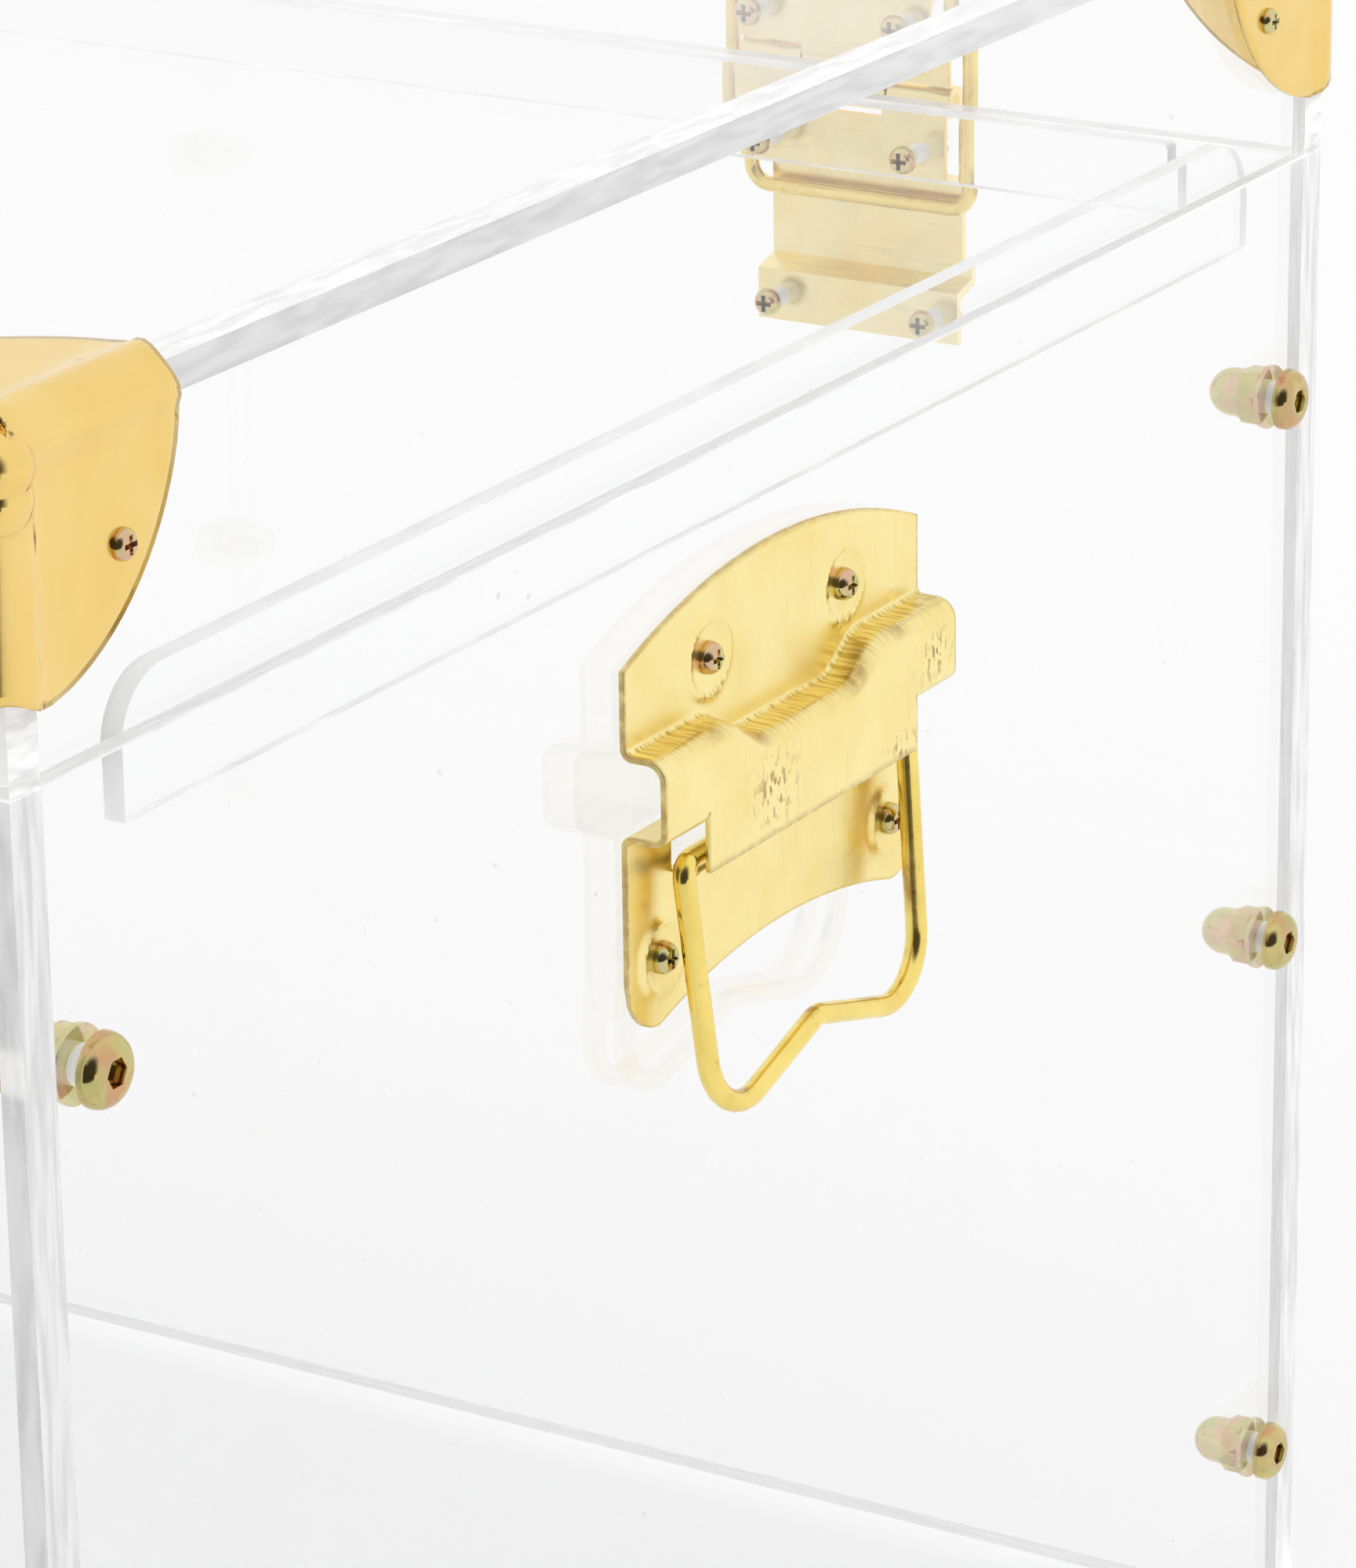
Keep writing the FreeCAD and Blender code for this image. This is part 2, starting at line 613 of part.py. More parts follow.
# ---- lid corner protectors ----------------------------------------------------------
def corner_cap():
    """A cap over the corner at the origin; the lid lies on the negative side of each axis."""
    reach = CORNER_REACH
    beyond = reach + 1
    outer = block((-beyond, CORNER_T), (-beyond, CORNER_T), (-beyond, CORNER_T))
    lid = block((-beyond, 0), (-beyond, 0), (-beyond, 0))
    rounded = outer.makeFillet(CORNER_EDGE_R, [
        edge for edge in outer.Edges
        if sum(abs(axis - CORNER_T) < 0.01 for axis in edge.CenterOfMass) == 2
    ])
    diagonal = V(1, 1, 1)
    cap = rounded.common(Part.makeSphere(reach, V(0, 0, 0), diagonal))
    boss = Part.makeSphere(BOSS_R, diagonal * -BOSS_SINK, diagonal)
    cap = cap.fuse(boss).cut(lid).removeSplitter()
    holes = []
    for axis in range(3):
        place = [-CORNER_SCREW_IN, -CORNER_SCREW_IN, -CORNER_SCREW_DOWN]
        place[axis] = CORNER_T
        out = [0, 0, 0]
        out[axis] = 1
        holes.append(clearance(V(*place), V(*out), CORNER_T + 1, CORNER_SCREW_R))
    return cut_all(cap, holes)


def lid_corners():
    pieces = {}
    cap = corner_cap()
    for side_name, side in SIDES.items():
        for face_name, face in FACES.items():
            copy = cap.copy()
            if side < 0:
                copy = copy.mirror(V(0, 0, 0), V(1, 0, 0))
            if face < 0:
                copy = copy.mirror(V(0, 0, 0), V(0, 1, 0))
            copy.translate(V(side * END_X, face * BACK_Y, TOP_Z))
            pieces["lid_corner_" + face_name + "_" + side_name] = copy
    screws = []
    for seat, out in corner_screw_seats():
        screws.append(pan_screw(seat, out, CORNER_SCREW_LEN, CORNER_HEAD_R, CORNER_HEAD_H, CORNER_SCREW_R))
    pieces["lid_corner_screws"] = Part.makeCompound(screws)
    return pieces


# ---- front hook latch ---------------------------------------------------------------
def latch_plate(v):
    """A rounded plate on the front wall, drilled for two screws and a post."""
    half_tall = LATCH_PLATE_TALL / 2
    y = -BACK_Y
    z = RIM_Z + v
    block_x = (-LATCH_PLATE_HALF, LATCH_PLATE_HALF)
    plate = block(block_x, (y - LATCH_PLATE_T, y), (z - half_tall, z + half_tall))
    uprights = [edge for edge in plate.Edges if abs(edge.tangentAt(edge.FirstParameter).y) > 0.9]
    plate = plate.makeFillet(LATCH_PLATE_CORNER, uprights)
    return cut_all(plate, [clearance(seat - V(0, LATCH_PLATE_T, 0), V(0, -1, 0), 2) for seat in latch_seats(v)])


def latch_hook():
    """The swing hook, hanging down from its pivot with its throat open towards +X."""
    back = LATCH_STANDOFF + HOOK_PLAY
    start = V(0, -BACK_Y - back - HOOK_T, RIM_Z + LATCH_PIVOT_V)
    into = V(0, 1, 0)
    y_range = (start.y, start.y + HOOK_T)
    reach = LATCH_STUD_V - LATCH_PIVOT_V

    def below(top, bottom, low_x, high_x):
        return block((low_x, high_x), y_range, (start.z - bottom, start.z - top))

    bar = below(0, reach, -HOOK_BAR_HALF, HOOK_BAR_HALF)
    eye = rod(start, into, HOOK_EYE_R, HOOK_T)
    head_ring = rod(start, into, HOOK_HEAD_OUTER, HOOK_T).cut(rod(start, into, HOOK_HEAD_INNER, HOOK_T))
    head = head_ring.common(below(0, HOOK_HEAD_OUTER, -HOOK_HEAD_HALF, HOOK_HEAD_HALF))
    throat_ring = rod(start, into, reach + HOOK_THROAT, HOOK_T).cut(rod(start, into, reach - HOOK_THROAT, HOOK_T))
    throat = throat_ring.common(below(0, HOOK_HEAD_OUTER, 0, HOOK_HEAD_HALF + 1))
    throat_end = rod(start - V(0, 0, reach), into, HOOK_THROAT, HOOK_T)
    hook = bar.fuse([eye, head]).removeSplitter()
    return hook.cut(Part.makeCompound([throat, throat_end, rod(start, into, LATCH_POST_R + PIVOT_PLAY, HOOK_T)]))


def latch():
    out = V(0, -1, 0)
    pivot = V(0, -BACK_Y, RIM_Z + LATCH_PIVOT_V)
    stud = V(0, -BACK_Y, RIM_Z + LATCH_STUD_V)
    tip_h = LATCH_OUT - LATCH_HEAD_T
    post = rod(pivot + out * LATCH_PLATE_T, out, LATCH_HEAD_R, LATCH_STANDOFF - LATCH_PLATE_T)
    post = post.fuse([
        rod(pivot - out * (WALL + STRIP_THICK), out, LATCH_POST_R, tip_h + WALL + STRIP_THICK),
        rod(pivot + out * tip_h, out, LATCH_HEAD_R, LATCH_HEAD_T),
    ]).removeSplitter()
    stud_pin = rod(stud + out * (LATCH_PLATE_T / 2), out, LATCH_POST_R, tip_h - LATCH_PLATE_T / 2)
    stud_head = rod(stud + out * tip_h, out, LATCH_HEAD_R - 0.6, LATCH_HEAD_T)
    pieces = {
        "latch_body_plate": latch_plate(LATCH_PIVOT_V).cut(clearance(pivot, out, 2, LATCH_POST_R)),
        "latch_pivot_post": post,
        "latch_hook": latch_hook(),
        "latch_lid_plate": latch_plate(LATCH_STUD_V).fuse([stud_pin, stud_head]).removeSplitter(),
    }
    for part, v, wall in (("body", LATCH_PIVOT_V, WALL), ("lid", LATCH_STUD_V, LID_WALL)):
        screws, nuts = [], []
        for seat in latch_seats(v):
            length = LATCH_PLATE_T + wall + NUT_REACH
            screws.append(pan_screw(seat + out * LATCH_PLATE_T, out, length, head_h=LATCH_SCREW_HEAD_H))
            nuts.append(hex_nut(seat - out * wall, out * -1))
        if part == "body":
            nuts.append(hex_prism(pivot - out * wall, out * -1, NUT_ACROSS + 1.5, NUT_H).cut(
                rod(pivot, out * -1, LATCH_POST_R, WALL + NUT_H)))
        pieces["latch_" + part + "_screws"] = Part.makeCompound(screws)
        pieces["latch_" + part + "_nuts"] = Part.makeCompound(nuts)
    return pieces


# ---- write every piece --------------------------------------------------------------
def main():
    os.makedirs("parts", exist_ok=True)
    pieces = {}
    for group in (body_panels, rim_strips, lid_panels, feet, end_wall_fasteners, handles, hinges, lid_corners, latch):
        pieces.update(group())
    for name, shape in pieces.items():
        if not shape.isValid():
            print("invalid shape", name)
        shape.exportStep(os.path.join("parts", name + ".step"))
    print(len(pieces), "nodes written")


main()
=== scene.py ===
import math

import bmesh
import bpy
from mathutils import Matrix, Vector


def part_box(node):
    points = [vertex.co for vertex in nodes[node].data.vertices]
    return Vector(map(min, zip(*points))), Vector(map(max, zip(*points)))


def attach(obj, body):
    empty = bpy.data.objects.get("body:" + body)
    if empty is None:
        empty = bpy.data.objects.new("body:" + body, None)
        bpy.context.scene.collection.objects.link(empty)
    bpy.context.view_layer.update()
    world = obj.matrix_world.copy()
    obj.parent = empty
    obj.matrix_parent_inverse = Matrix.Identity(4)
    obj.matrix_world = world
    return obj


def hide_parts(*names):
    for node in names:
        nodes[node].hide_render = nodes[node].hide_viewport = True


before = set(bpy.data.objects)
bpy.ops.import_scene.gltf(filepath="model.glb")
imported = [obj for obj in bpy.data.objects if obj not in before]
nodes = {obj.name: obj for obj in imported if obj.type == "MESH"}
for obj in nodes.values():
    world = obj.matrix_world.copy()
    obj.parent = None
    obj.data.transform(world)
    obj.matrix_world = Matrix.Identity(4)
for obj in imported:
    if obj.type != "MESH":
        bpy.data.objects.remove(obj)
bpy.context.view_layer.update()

MM = 0.001

# ---- places measured from the CAD nodes and the sheet's thickness, in metres --------
END_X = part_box("body_right_panel")[1].x
BACK_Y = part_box("body_back_panel")[1].y
RIM_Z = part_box("body_front_panel")[1].z
TOP_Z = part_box("lid_top_panel")[1].z
WALL = 6.0 * MM
SIDES = {"left": -1, "right": 1}
FACES = {"front": -1, "back": 1}

# ---- camera -------------------------------------------------------------------------
CAMERA_AZIMUTH = math.radians(31.18)
CAMERA_ELEVATION = math.radians(19.70)
CAMERA_ROLL = math.radians(-0.811)
CAMERA_FROM_CORNER = Vector((0.4178, -0.5460, 0.2459))
CAMERA_LENS = 149.0
CAMERA_SENSOR = 36.0
CAMERA_CLIP_START = 0.01


def toward_camera():
    level = math.cos(CAMERA_ELEVATION)
    x = math.sin(CAMERA_AZIMUTH) * level
    y = -math.cos(CAMERA_AZIMUTH) * level
    return Vector((x, y, math.sin(CAMERA_ELEVATION)))


def make_camera():
    data = bpy.data.cameras.new("camera")
    data.lens = CAMERA_LENS
    data.sensor_width = CAMERA_SENSOR
    data.clip_start = CAMERA_CLIP_START
    camera = bpy.data.objects.new("camera", data)
    bpy.context.scene.collection.objects.link(camera)
    right = Vector((math.cos(CAMERA_AZIMUTH), math.sin(CAMERA_AZIMUTH), 0))
    back = toward_camera()
    up = back.cross(right)
    right_rolled = right * math.cos(CAMERA_ROLL) + up * math.sin(CAMERA_ROLL)
    turn = Matrix((right_rolled, back.cross(right_rolled), back)).transposed()
    near_rim_corner = Vector((END_X, -BACK_Y, RIM_Z))
    camera.matrix_world = Matrix.Translation(near_rim_corner + CAMERA_FROM_CORNER) @ turn.to_4x4()
    bpy.context.scene.camera = camera


# ---- shader nodes -------------------------------------------------------------------
def new_material(name):
    material = bpy.data.materials.new(name)
    material.use_nodes = True
    return material, material.node_tree, material.node_tree.nodes["Principled BSDF"]


def add(tree, kind, sockets, **settings):
    """A shader node with its settings made and its inputs linked or set."""
    node = tree.nodes.new("ShaderNode" + kind)
    for name, value in settings.items():
        setattr(node, name, value)
    for key, value in sockets.items():
        if isinstance(value, bpy.types.NodeSocket):
            tree.links.new(value, node.inputs[key])
        else:
            node.inputs[key].default_value = value
    return node


def remap(tree, value, low, high, to_low=0.0, to_high=1.0, **settings):
    sockets = {"Value": value, "From Min": low, "From Max": high, "To Min": to_low, "To Max": to_high}
    return add(tree, "MapRange", sockets, **settings).outputs[0]


def math_node(tree, operation, *values):
    return add(tree, "Math", dict(enumerate(values)), operation=operation).outputs[0]


def noise(tree, lumps, detail=3.0, distortion=0.0):
    """Noise in the piece's own frame, with so many lumps per metre along each axis."""
    place = add(tree, "TexCoord", {}).outputs["Object"]
    stretched = add(tree, "VectorMath", {0: place, 1: lumps}, operation="MULTIPLY").outputs[0]
    sockets = {"Vector": stretched, "Scale": 1.0, "Detail": detail, "Distortion": distortion}
    return add(tree, "TexNoise", sockets).outputs[0]


def even_noise(tree, lumps, detail=3.0):
    return noise(tree, (lumps, lumps, lumps), detail)


def mix_colour(tree, amount, first, second):
    return add(tree, "MixRGB", {0: amount, 1: first, 2: second}).outputs[0]


def grey(level):
    return (level, level, level, 1.0)


# ---- light and floor ----------------------------------------------------------------
WORLD_STRENGTH = 0.965
DARK_STRENGTH = 0.06
DARK_CENTRE = Vector((0.55, -0.80, 0.12)).normalized()
DARK_RIM_COSINE = 0.62
DARK_CORE_COSINE = 0.90
MATT = 0.9
FLOOR_REACH = 4.0
FLOOR_GREY = 0.35
FLOOR_GLOW = 0.645
CARD_X = (-1.3, 1.3)
CARD_Y = -0.75
CARD_HEIGHT = 0.55
CARD_COLOUR = (0.05, 0.035, 0.02, 1)


def make_world():
    """A white room with a soft dark patch on the camera's side, which only mirrored rays see."""
    world = bpy.data.worlds.new("studio")
    bpy.context.scene.world = world
    world.use_nodes = True
    tree = world.node_tree
    direction = add(tree, "TexCoord", {}).outputs["Generated"]
    facing = add(tree, "VectorMath", {0: direction, 1: DARK_CENTRE}, operation="DOT_PRODUCT").outputs["Value"]
    patch = remap(
        tree, facing, DARK_RIM_COSINE, DARK_CORE_COSINE, WORLD_STRENGTH, DARK_STRENGTH,
        interpolation_type="SMOOTHSTEP",
    )
    mirrored = add(tree, "LightPath", {}).outputs["Is Glossy Ray"]
    background = tree.nodes["Background"]
    background.inputs["Color"].default_value = grey(1.0)
    tree.links.new(remap(tree, mirrored, 0.0, 1.0, WORLD_STRENGTH, patch), background.inputs["Strength"])


def stage_sheet(name, corners, material, is_seen=True):
    """A flat sheet of the studio; one that isn't seen still shows in the metal's reflections."""
    mesh = bpy.data.meshes.new(name)
    mesh.from_pydata(corners, [], [(0, 1, 2, 3)])
    mesh.materials.append(material)
    sheet = bpy.data.objects.new(name, mesh)
    bpy.context.scene.collection.objects.link(sheet)
    sheet.visible_camera = is_seen
    sheet.visible_transmission = is_seen


def make_floor():
    """White paper that glows a little, as an over-lit sweep does."""
    material, _, shader = new_material("floor_paper")
    shader.inputs["Base Color"].default_value = grey(FLOOR_GREY)
    shader.inputs["Roughness"].default_value = MATT
    shader.inputs["Specular IOR Level"].default_value = 0.0
    shader.inputs["Emission Color"].default_value = grey(1.0)
    shader.inputs["Emission Strength"].default_value = FLOOR_GLOW
    corners = [(x * FLOOR_REACH, y * FLOOR_REACH, 0) for x, y in ((-1, -1), (1, -1), (1, 1), (-1, 1))]
    stage_sheet("floor", corners, material)


def make_dark_card():
    """A dark card behind the camera, which gives the polished corners their dark edges."""
    material, _, shader = new_material("dark_card")
    shader.inputs["Base Color"].default_value = CARD_COLOUR
    shader.inputs["Roughness"].default_value = MATT
    low_x, high_x = CARD_X
    places = ((low_x, 0), (high_x, 0), (high_x, CARD_HEIGHT), (low_x, CARD_HEIGHT))
    stage_sheet("dark_card", [(x, CARD_Y, z) for x, z in places], material, is_seen=False)


# ---- clear materials ----------------------------------------------------------------
ACRYLIC_IOR = 1.49
FACE_COLOUR = (0.997, 0.999, 0.998, 1.0)
EDGE_BRIGHT = 0.97
# strength of the painted glow given to the sheets' frosted edges
EDGE_PAINTED_GLOW = 0.27
EDGE_ROUGHNESS = (0.25, 0.6)
DUST_LUMPS = 420
DUST_COVER = 0.35
TICK_DEPTH = 0.0004
RUBBER_IOR = 1.45


def let_lamps_through(tree, shader):
    """Shadow rays pass straight through the clear piece, so it casts no dark shadow."""
    path = add(tree, "LightPath", {}).outputs["Is Shadow Ray"]
    clear = add(tree, "BsdfTransparent", {}).outputs[0]
    mixed = add(tree, "MixShader", {0: path, 1: shader.outputs[0], 2: clear}).outputs[0]
    tree.links.new(mixed, tree.nodes["Material Output"].inputs["Surface"])


def steepness(tree, axis):
    """How squarely the surface faces along one of the piece's own axes, from 0 to 1."""
    normal = add(tree, "TexCoord", {}).outputs["Normal"]
    return math_node(tree, "ABSOLUTE", add(tree, "SeparateXYZ", {0: normal}).outputs[axis])


def acrylic(name, face_axis, grain, dark=0.84, frost=0.6):
    """Clear sheet: polished faces across face_axis, and sawn or cemented edges that look frosted and carry a
    painted glow.
    """
    material, tree, shader = new_material(name)
    shader.inputs["IOR"].default_value = ACRYLIC_IOR
    edge = remap(tree, steepness(tree, face_axis), 0.75, 0.35)
    streaks = noise(tree, grain, detail=2.0, distortion=0.4)
    tone = mix_colour(tree, remap(tree, streaks, 0.36, 0.58), grey(dark), grey(EDGE_BRIGHT))
    specks = remap(tree, even_noise(tree, DUST_LUMPS, 1.0), 0.80, 0.83, 0.0, DUST_COVER)
    rough = math_node(tree, "MULTIPLY", edge, remap(tree, streaks, 0.3, 0.7, *EDGE_ROUGHNESS))
    cover = math_node(tree, "MAXIMUM", math_node(tree, "MULTIPLY", edge, frost), specks)
    ticks = math_node(tree, "MULTIPLY", streaks, edge)
    bump = add(tree, "Bump", {"Strength": 0.5, "Distance": TICK_DEPTH, "Height": ticks}).outputs[0]
    tree.links.new(mix_colour(tree, edge, FACE_COLOUR, tone), shader.inputs["Base Color"])
    tree.links.new(rough, shader.inputs["Roughness"])
    tree.links.new(math_node(tree, "SUBTRACT", 1.0, cover), shader.inputs["Transmission Weight"])
    # painted light: the frosted edges glow in their own streaky tone, so they read brighter than their
    # lighting makes them
    tree.links.new(math_node(tree, "MULTIPLY", edge, EDGE_PAINTED_GLOW), shader.inputs["Emission Strength"])
    tree.links.new(tone, shader.inputs["Emission Color"])
    tree.links.new(bump, shader.inputs["Normal"])
    let_lamps_through(tree, shader)
    return material


def rubber():
    material, tree, shader = new_material("clear_rubber_foot")
    mottled = mix_colour(tree, even_noise(tree, 300), grey(0.82), grey(0.95))
    tree.links.new(mottled, shader.inputs["Base Color"])
    shader.inputs["Roughness"].default_value = 0.25
    shader.inputs["IOR"].default_value = RUBBER_IOR
    shader.inputs["Transmission Weight"].default_value = 0.75
    let_lamps_through(tree, shader)
    return material


SHEET_MATERIALS = {
    "front": acrylic("acrylic_front_back", 1, (90, 700, 70)),
    "end": acrylic("acrylic_end", 0, (600, 70, 90)),
    "flat": acrylic("acrylic_flat", 2, (70, 90, 600)),
    "lid_front": acrylic("acrylic_lid_front_back", 1, (90, 160, 620), dark=0.74),
    "lid_end": acrylic("acrylic_lid_end", 0, (600, 110, 90), dark=0.76),
    "strip_front": acrylic("acrylic_strip_front_back", 1, (90, 300, 90), frost=0.4),
    "strip_end": acrylic("acrylic_strip_end", 0, (300, 90, 90), frost=0.4),
}
RUBBER = rubber()

# ---- metals -------------------------------------------------------------------------
CREASE_COLOUR = (0.62, 0.42, 0.08, 1)
SCRATCH_SHADE = 0.55
SCRATCH_DEPTH = 0.00006


def stamped_marks(tree, colour, worn_and_shaded):
    """Brown wear and painted shade, short strokes across the bends and scuffs, each where the mesh says so.
    """
    patches = remap(tree, even_noise(tree, 700), 0.30, 0.6, 0.35, 1.0)
    strokes = remap(tree, noise(tree, (200, 2200, 150), detail=1.0), 0.45, 0.62)
    flecks = remap(tree, noise(tree, (1100, 1100, 600), detail=3.0), 0.55, 0.60)
    marks = (("crease", strokes, CREASE_COLOUR), ("wear_and_shade", patches, (*worn_and_shaded, 1)), ("scuff", flecks, (*worn_and_shaded, 1)))
    for attribute, pattern, mark_colour in marks:
        share = add(tree, "Attribute", {}, attribute_name=attribute).outputs["Fac"]
        colour = mix_colour(tree, math_node(tree, "MULTIPLY", share, pattern), colour, mark_colour)
    return colour


def metal(name, bright, dull, rough, grain, scratch=0.25, tint=None, worn_and_shaded=None):
    """Plated metal: cloudy colour, fine scratches along the grain, and brown wear and painted shade where the
    mesh says so.
    """
    material, tree, shader = new_material(name)
    clouds = remap(tree, even_noise(tree, 90, 4.0), 0.35, 0.68)
    colour = mix_colour(tree, clouds, (*bright, 1), (*dull, 1))
    scratches = noise(tree, grain, detail=5.0)
    lines = math_node(tree, "MULTIPLY", remap(tree, scratches, 0.62, 0.72), scratch)
    colour = mix_colour(tree, lines, colour, (*[SCRATCH_SHADE * level for level in dull], 1))
    if tint:
        film = remap(tree, even_noise(tree, 260, 2.0), 0.45, 0.62)
        colour = mix_colour(tree, film, colour, (*tint, 1))
    if worn_and_shaded:
        colour = stamped_marks(tree, colour, worn_and_shaded)
    smear = remap(tree, even_noise(tree, 160), 0.3, 0.7, rough * 0.75, rough * 1.35)
    bump = add(tree, "Bump", {"Strength": 0.35, "Distance": SCRATCH_DEPTH, "Height": scratches}).outputs[0]
    tree.links.new(colour, shader.inputs["Base Color"])
    shader.inputs["Metallic"].default_value = 1.0
    tree.links.new(smear, shader.inputs["Roughness"])
    tree.links.new(bump, shader.inputs["Normal"])
    return material


PLATE = metal(
    "satin_gold_plate", bright=(1.0, 0.86, 0.40), dull=(0.97, 0.79, 0.31), rough=0.27,
    grain=(900, 900, 60), scratch=0.15, worn_and_shaded=(0.40, 0.22, 0.07),
)
LEAF = metal(
    "pale_gold_hinge", bright=(1.0, 0.87, 0.47), dull=(1.0, 0.79, 0.34), rough=0.24,
    grain=(60, 900, 900),
)
# on the corner caps this brass's brown mark colour is painted shade, laid round the balls
BRASS = metal(
    "polished_brass", bright=(0.94, 0.69, 0.25), dull=(0.90, 0.63, 0.20), rough=0.12,
    grain=(90, 90, 90), scratch=0.0, worn_and_shaded=(0.30, 0.17, 0.04),
)
WIRE = metal(
    "bright_gold_wire", bright=(0.98, 0.78, 0.24), dull=(0.85, 0.62, 0.14), rough=0.14,
    grain=(400, 400, 400), worn_and_shaded=(0.38, 0.20, 0.06),
)
BOLT = metal(
    "bronze_zinc", bright=(0.74, 0.58, 0.25), dull=(0.50, 0.48, 0.19), rough=0.12,
    grain=(300, 300, 300), tint=(0.64, 0.38, 0.20),
)
ZINC = metal(
    "yellow_zinc", bright=(0.78, 0.66, 0.32), dull=(0.55, 0.54, 0.24), rough=0.13,
    grain=(300, 300, 300), tint=(0.72, 0.48, 0.31),
)

# ---- the CAD pieces that stay as they are -------------------------------------------
JOINT_GAP = 0.04 * MM
SHEET_BEVEL = 0.3 * MM
STAMPED_BEVEL = 0.25 * MM


def sheet_material(name):
    if name.startswith("foot"):
        return RUBBER
    if name in ("body_base_panel", "lid_top_panel"):
        return SHEET_MATERIALS["flat"]
    group = {"lid": "lid_", "rim": "strip_"}.get(name.split("_")[0], "")
    is_end = "left" in name or "right" in name
    return SHEET_MATERIALS[group + ("end" if is_end else "front")]


def metal_material(name):
    if "screws" in name or "nuts" in name:
        return ZINC
    return WIRE if name.endswith("_pin") else LEAF


def add_bevel(piece, width):
    bevel = piece.modifiers.new("bevel", "BEVEL")
    bevel.width = width
    bevel.segments = 2
    bevel.limit_method = "ANGLE"


def dress_cad_nodes():
    for name, node in nodes.items():
        is_sheet = name.endswith("_panel") or name.startswith(("rim_strip", "foot"))
        node.data.materials.clear()
        node.data.materials.append(sheet_material(name) if is_sheet else metal_material(name))
        if is_sheet:
            shrink = node.modifiers.new("joint gap", "DISPLACE")
            shrink.strength = -JOINT_GAP
            shrink.mid_level = 0.0
            add_bevel(node, SHEET_BEVEL)
        elif name.endswith(("_leaf", "latch_hook", "_plate")):
            add_bevel(node, STAMPED_BEVEL)


# ---- fasteners, sizes in mm ---------------------------------------------------------
SEGMENTS = 48
CROSS_ARM = math.radians(15)
BOLT_R = 2.5
BOLT_LENGTH = 11.5
BOLT_PITCH = 0.8
BOLT_HEAD_R = 4.75
BOLT_HEAD_EDGE = 0.35
BOLT_DOME_IN = 2.0
BOLT_DOME_UP = 2.3
SOCKET_ACROSS = 3.2
SOCKET_FLOOR = 1.0
HANDLE_SCREW_SIZE = (2.3, 1.8, 1.5, 6.4)
HINGE_SCREW_SIZE = (2.3, 2.0, 1.5)
CAP_SCREW_SIZE = (2.0, 1.3, 1.1, 5.0)
SCREW_PITCH = 0.5
SCREW_HEAD_EDGE = 0.12
SCREW_HEAD_DOME = 1.08
WASHER_R = 5.0
WASHER_H = 0.9
WASHER_EASE = 0.1
DOME_NUT_ACROSS = 8.0
DOME_NUT_H = 3.7
DOME_R = 3.8
DOME_BASE = 5.6
HEX_NUT_ACROSS = 5.5
HEX_NUT_H = 2.4


def circle(radius):
    return lambda angle: radius


def hexagon(across, most=math.inf):
    """A hexagon with a corner at angle 0, its corners cut back to a radius."""
    def outline(angle):
        return min(most, across / 2 / math.cos(angle % (math.pi / 3) - math.pi / 6))
    return outline


def cross(reach):
    """A cross-shaped recess whose arms reach so far from the middle."""
    half_width = reach * math.tan(CROSS_ARM)

    def outline(angle):
        turn = (angle + math.pi / 4) % (math.pi / 2) - math.pi / 4
        if abs(turn) <= CROSS_ARM + 0.0002:
            return reach / math.cos(turn)
        return half_width / math.sin(abs(turn))
    return outline


def shank(radius, length, pitch):
    """A threaded shank below its head, from the tip up."""
    rings = [(circle(radius * 0.8), -length)]
    for turn in range(int(length / pitch)):
        low = -length + turn * pitch
        rings.append((circle(radius), low + 0.35 * pitch))
        rings.append((circle(radius * 0.86), low + 0.85 * pitch))
    rings.append((circle(radius), 0.0))
    return rings


def pan_screw(head_r, head_h, shank_r, length):
    """A domed head with a cross recess, on a threaded shank."""
    rings = shank(shank_r, length, SCREW_PITCH)
    rings.append((circle(0.94 * head_r), 0.0))
    rings.append((circle(head_r), SCREW_HEAD_EDGE * head_h))
    for step in range(1, 6):
        angle = math.radians(10 * step)
        height = SCREW_HEAD_EDGE + SCREW_HEAD_DOME * math.sin(angle)
        rings.append((circle(head_r * math.cos(angle)), head_h * height))
    rings.append((cross(0.60 * head_r), 0.95 * head_h))
    rings.append((cross(0.26 * head_r), 0.15 * head_h))
    return rings


def button_bolt():
    """A button head with a hex socket, on a threaded shank."""
    rings = shank(BOLT_R, BOLT_LENGTH, BOLT_PITCH)
    rings += [(circle(BOLT_HEAD_R), 0.0), (circle(BOLT_HEAD_R), BOLT_HEAD_EDGE)]
    for step in range(1, 7):
        angle = math.pi / 2 * step / 6
        radius = BOLT_HEAD_R - BOLT_DOME_IN * (1 - math.cos(angle))
        rings.append((circle(radius), BOLT_HEAD_EDGE + BOLT_DOME_UP * math.sin(angle)))
    top = BOLT_HEAD_EDGE + BOLT_DOME_UP
    rings.append((circle(2.1), top))
    rings.append((hexagon(SOCKET_ACROSS + 0.2), top - 0.05))
    rings.append((hexagon(SOCKET_ACROSS), top - 0.3))
    rings.append((hexagon(SOCKET_ACROSS), SOCKET_FLOOR))
    return rings


def dome_nut():
    hex_part = hexagon(DOME_NUT_ACROSS)
    rings = [(hexagon(DOME_NUT_ACROSS, 4.1), 0.0), (hex_part, 0.35), (hex_part, DOME_NUT_H - 0.5)]
    rings += [(hexagon(DOME_NUT_ACROSS, 4.05), DOME_NUT_H), (circle(DOME_R), DOME_NUT_H + 0.05)]
    for step in range(8):
        angle = math.pi / 2 * step / 8
        rings.append((circle(DOME_R * math.cos(angle)), DOME_BASE + DOME_R * math.sin(angle)))
    return rings


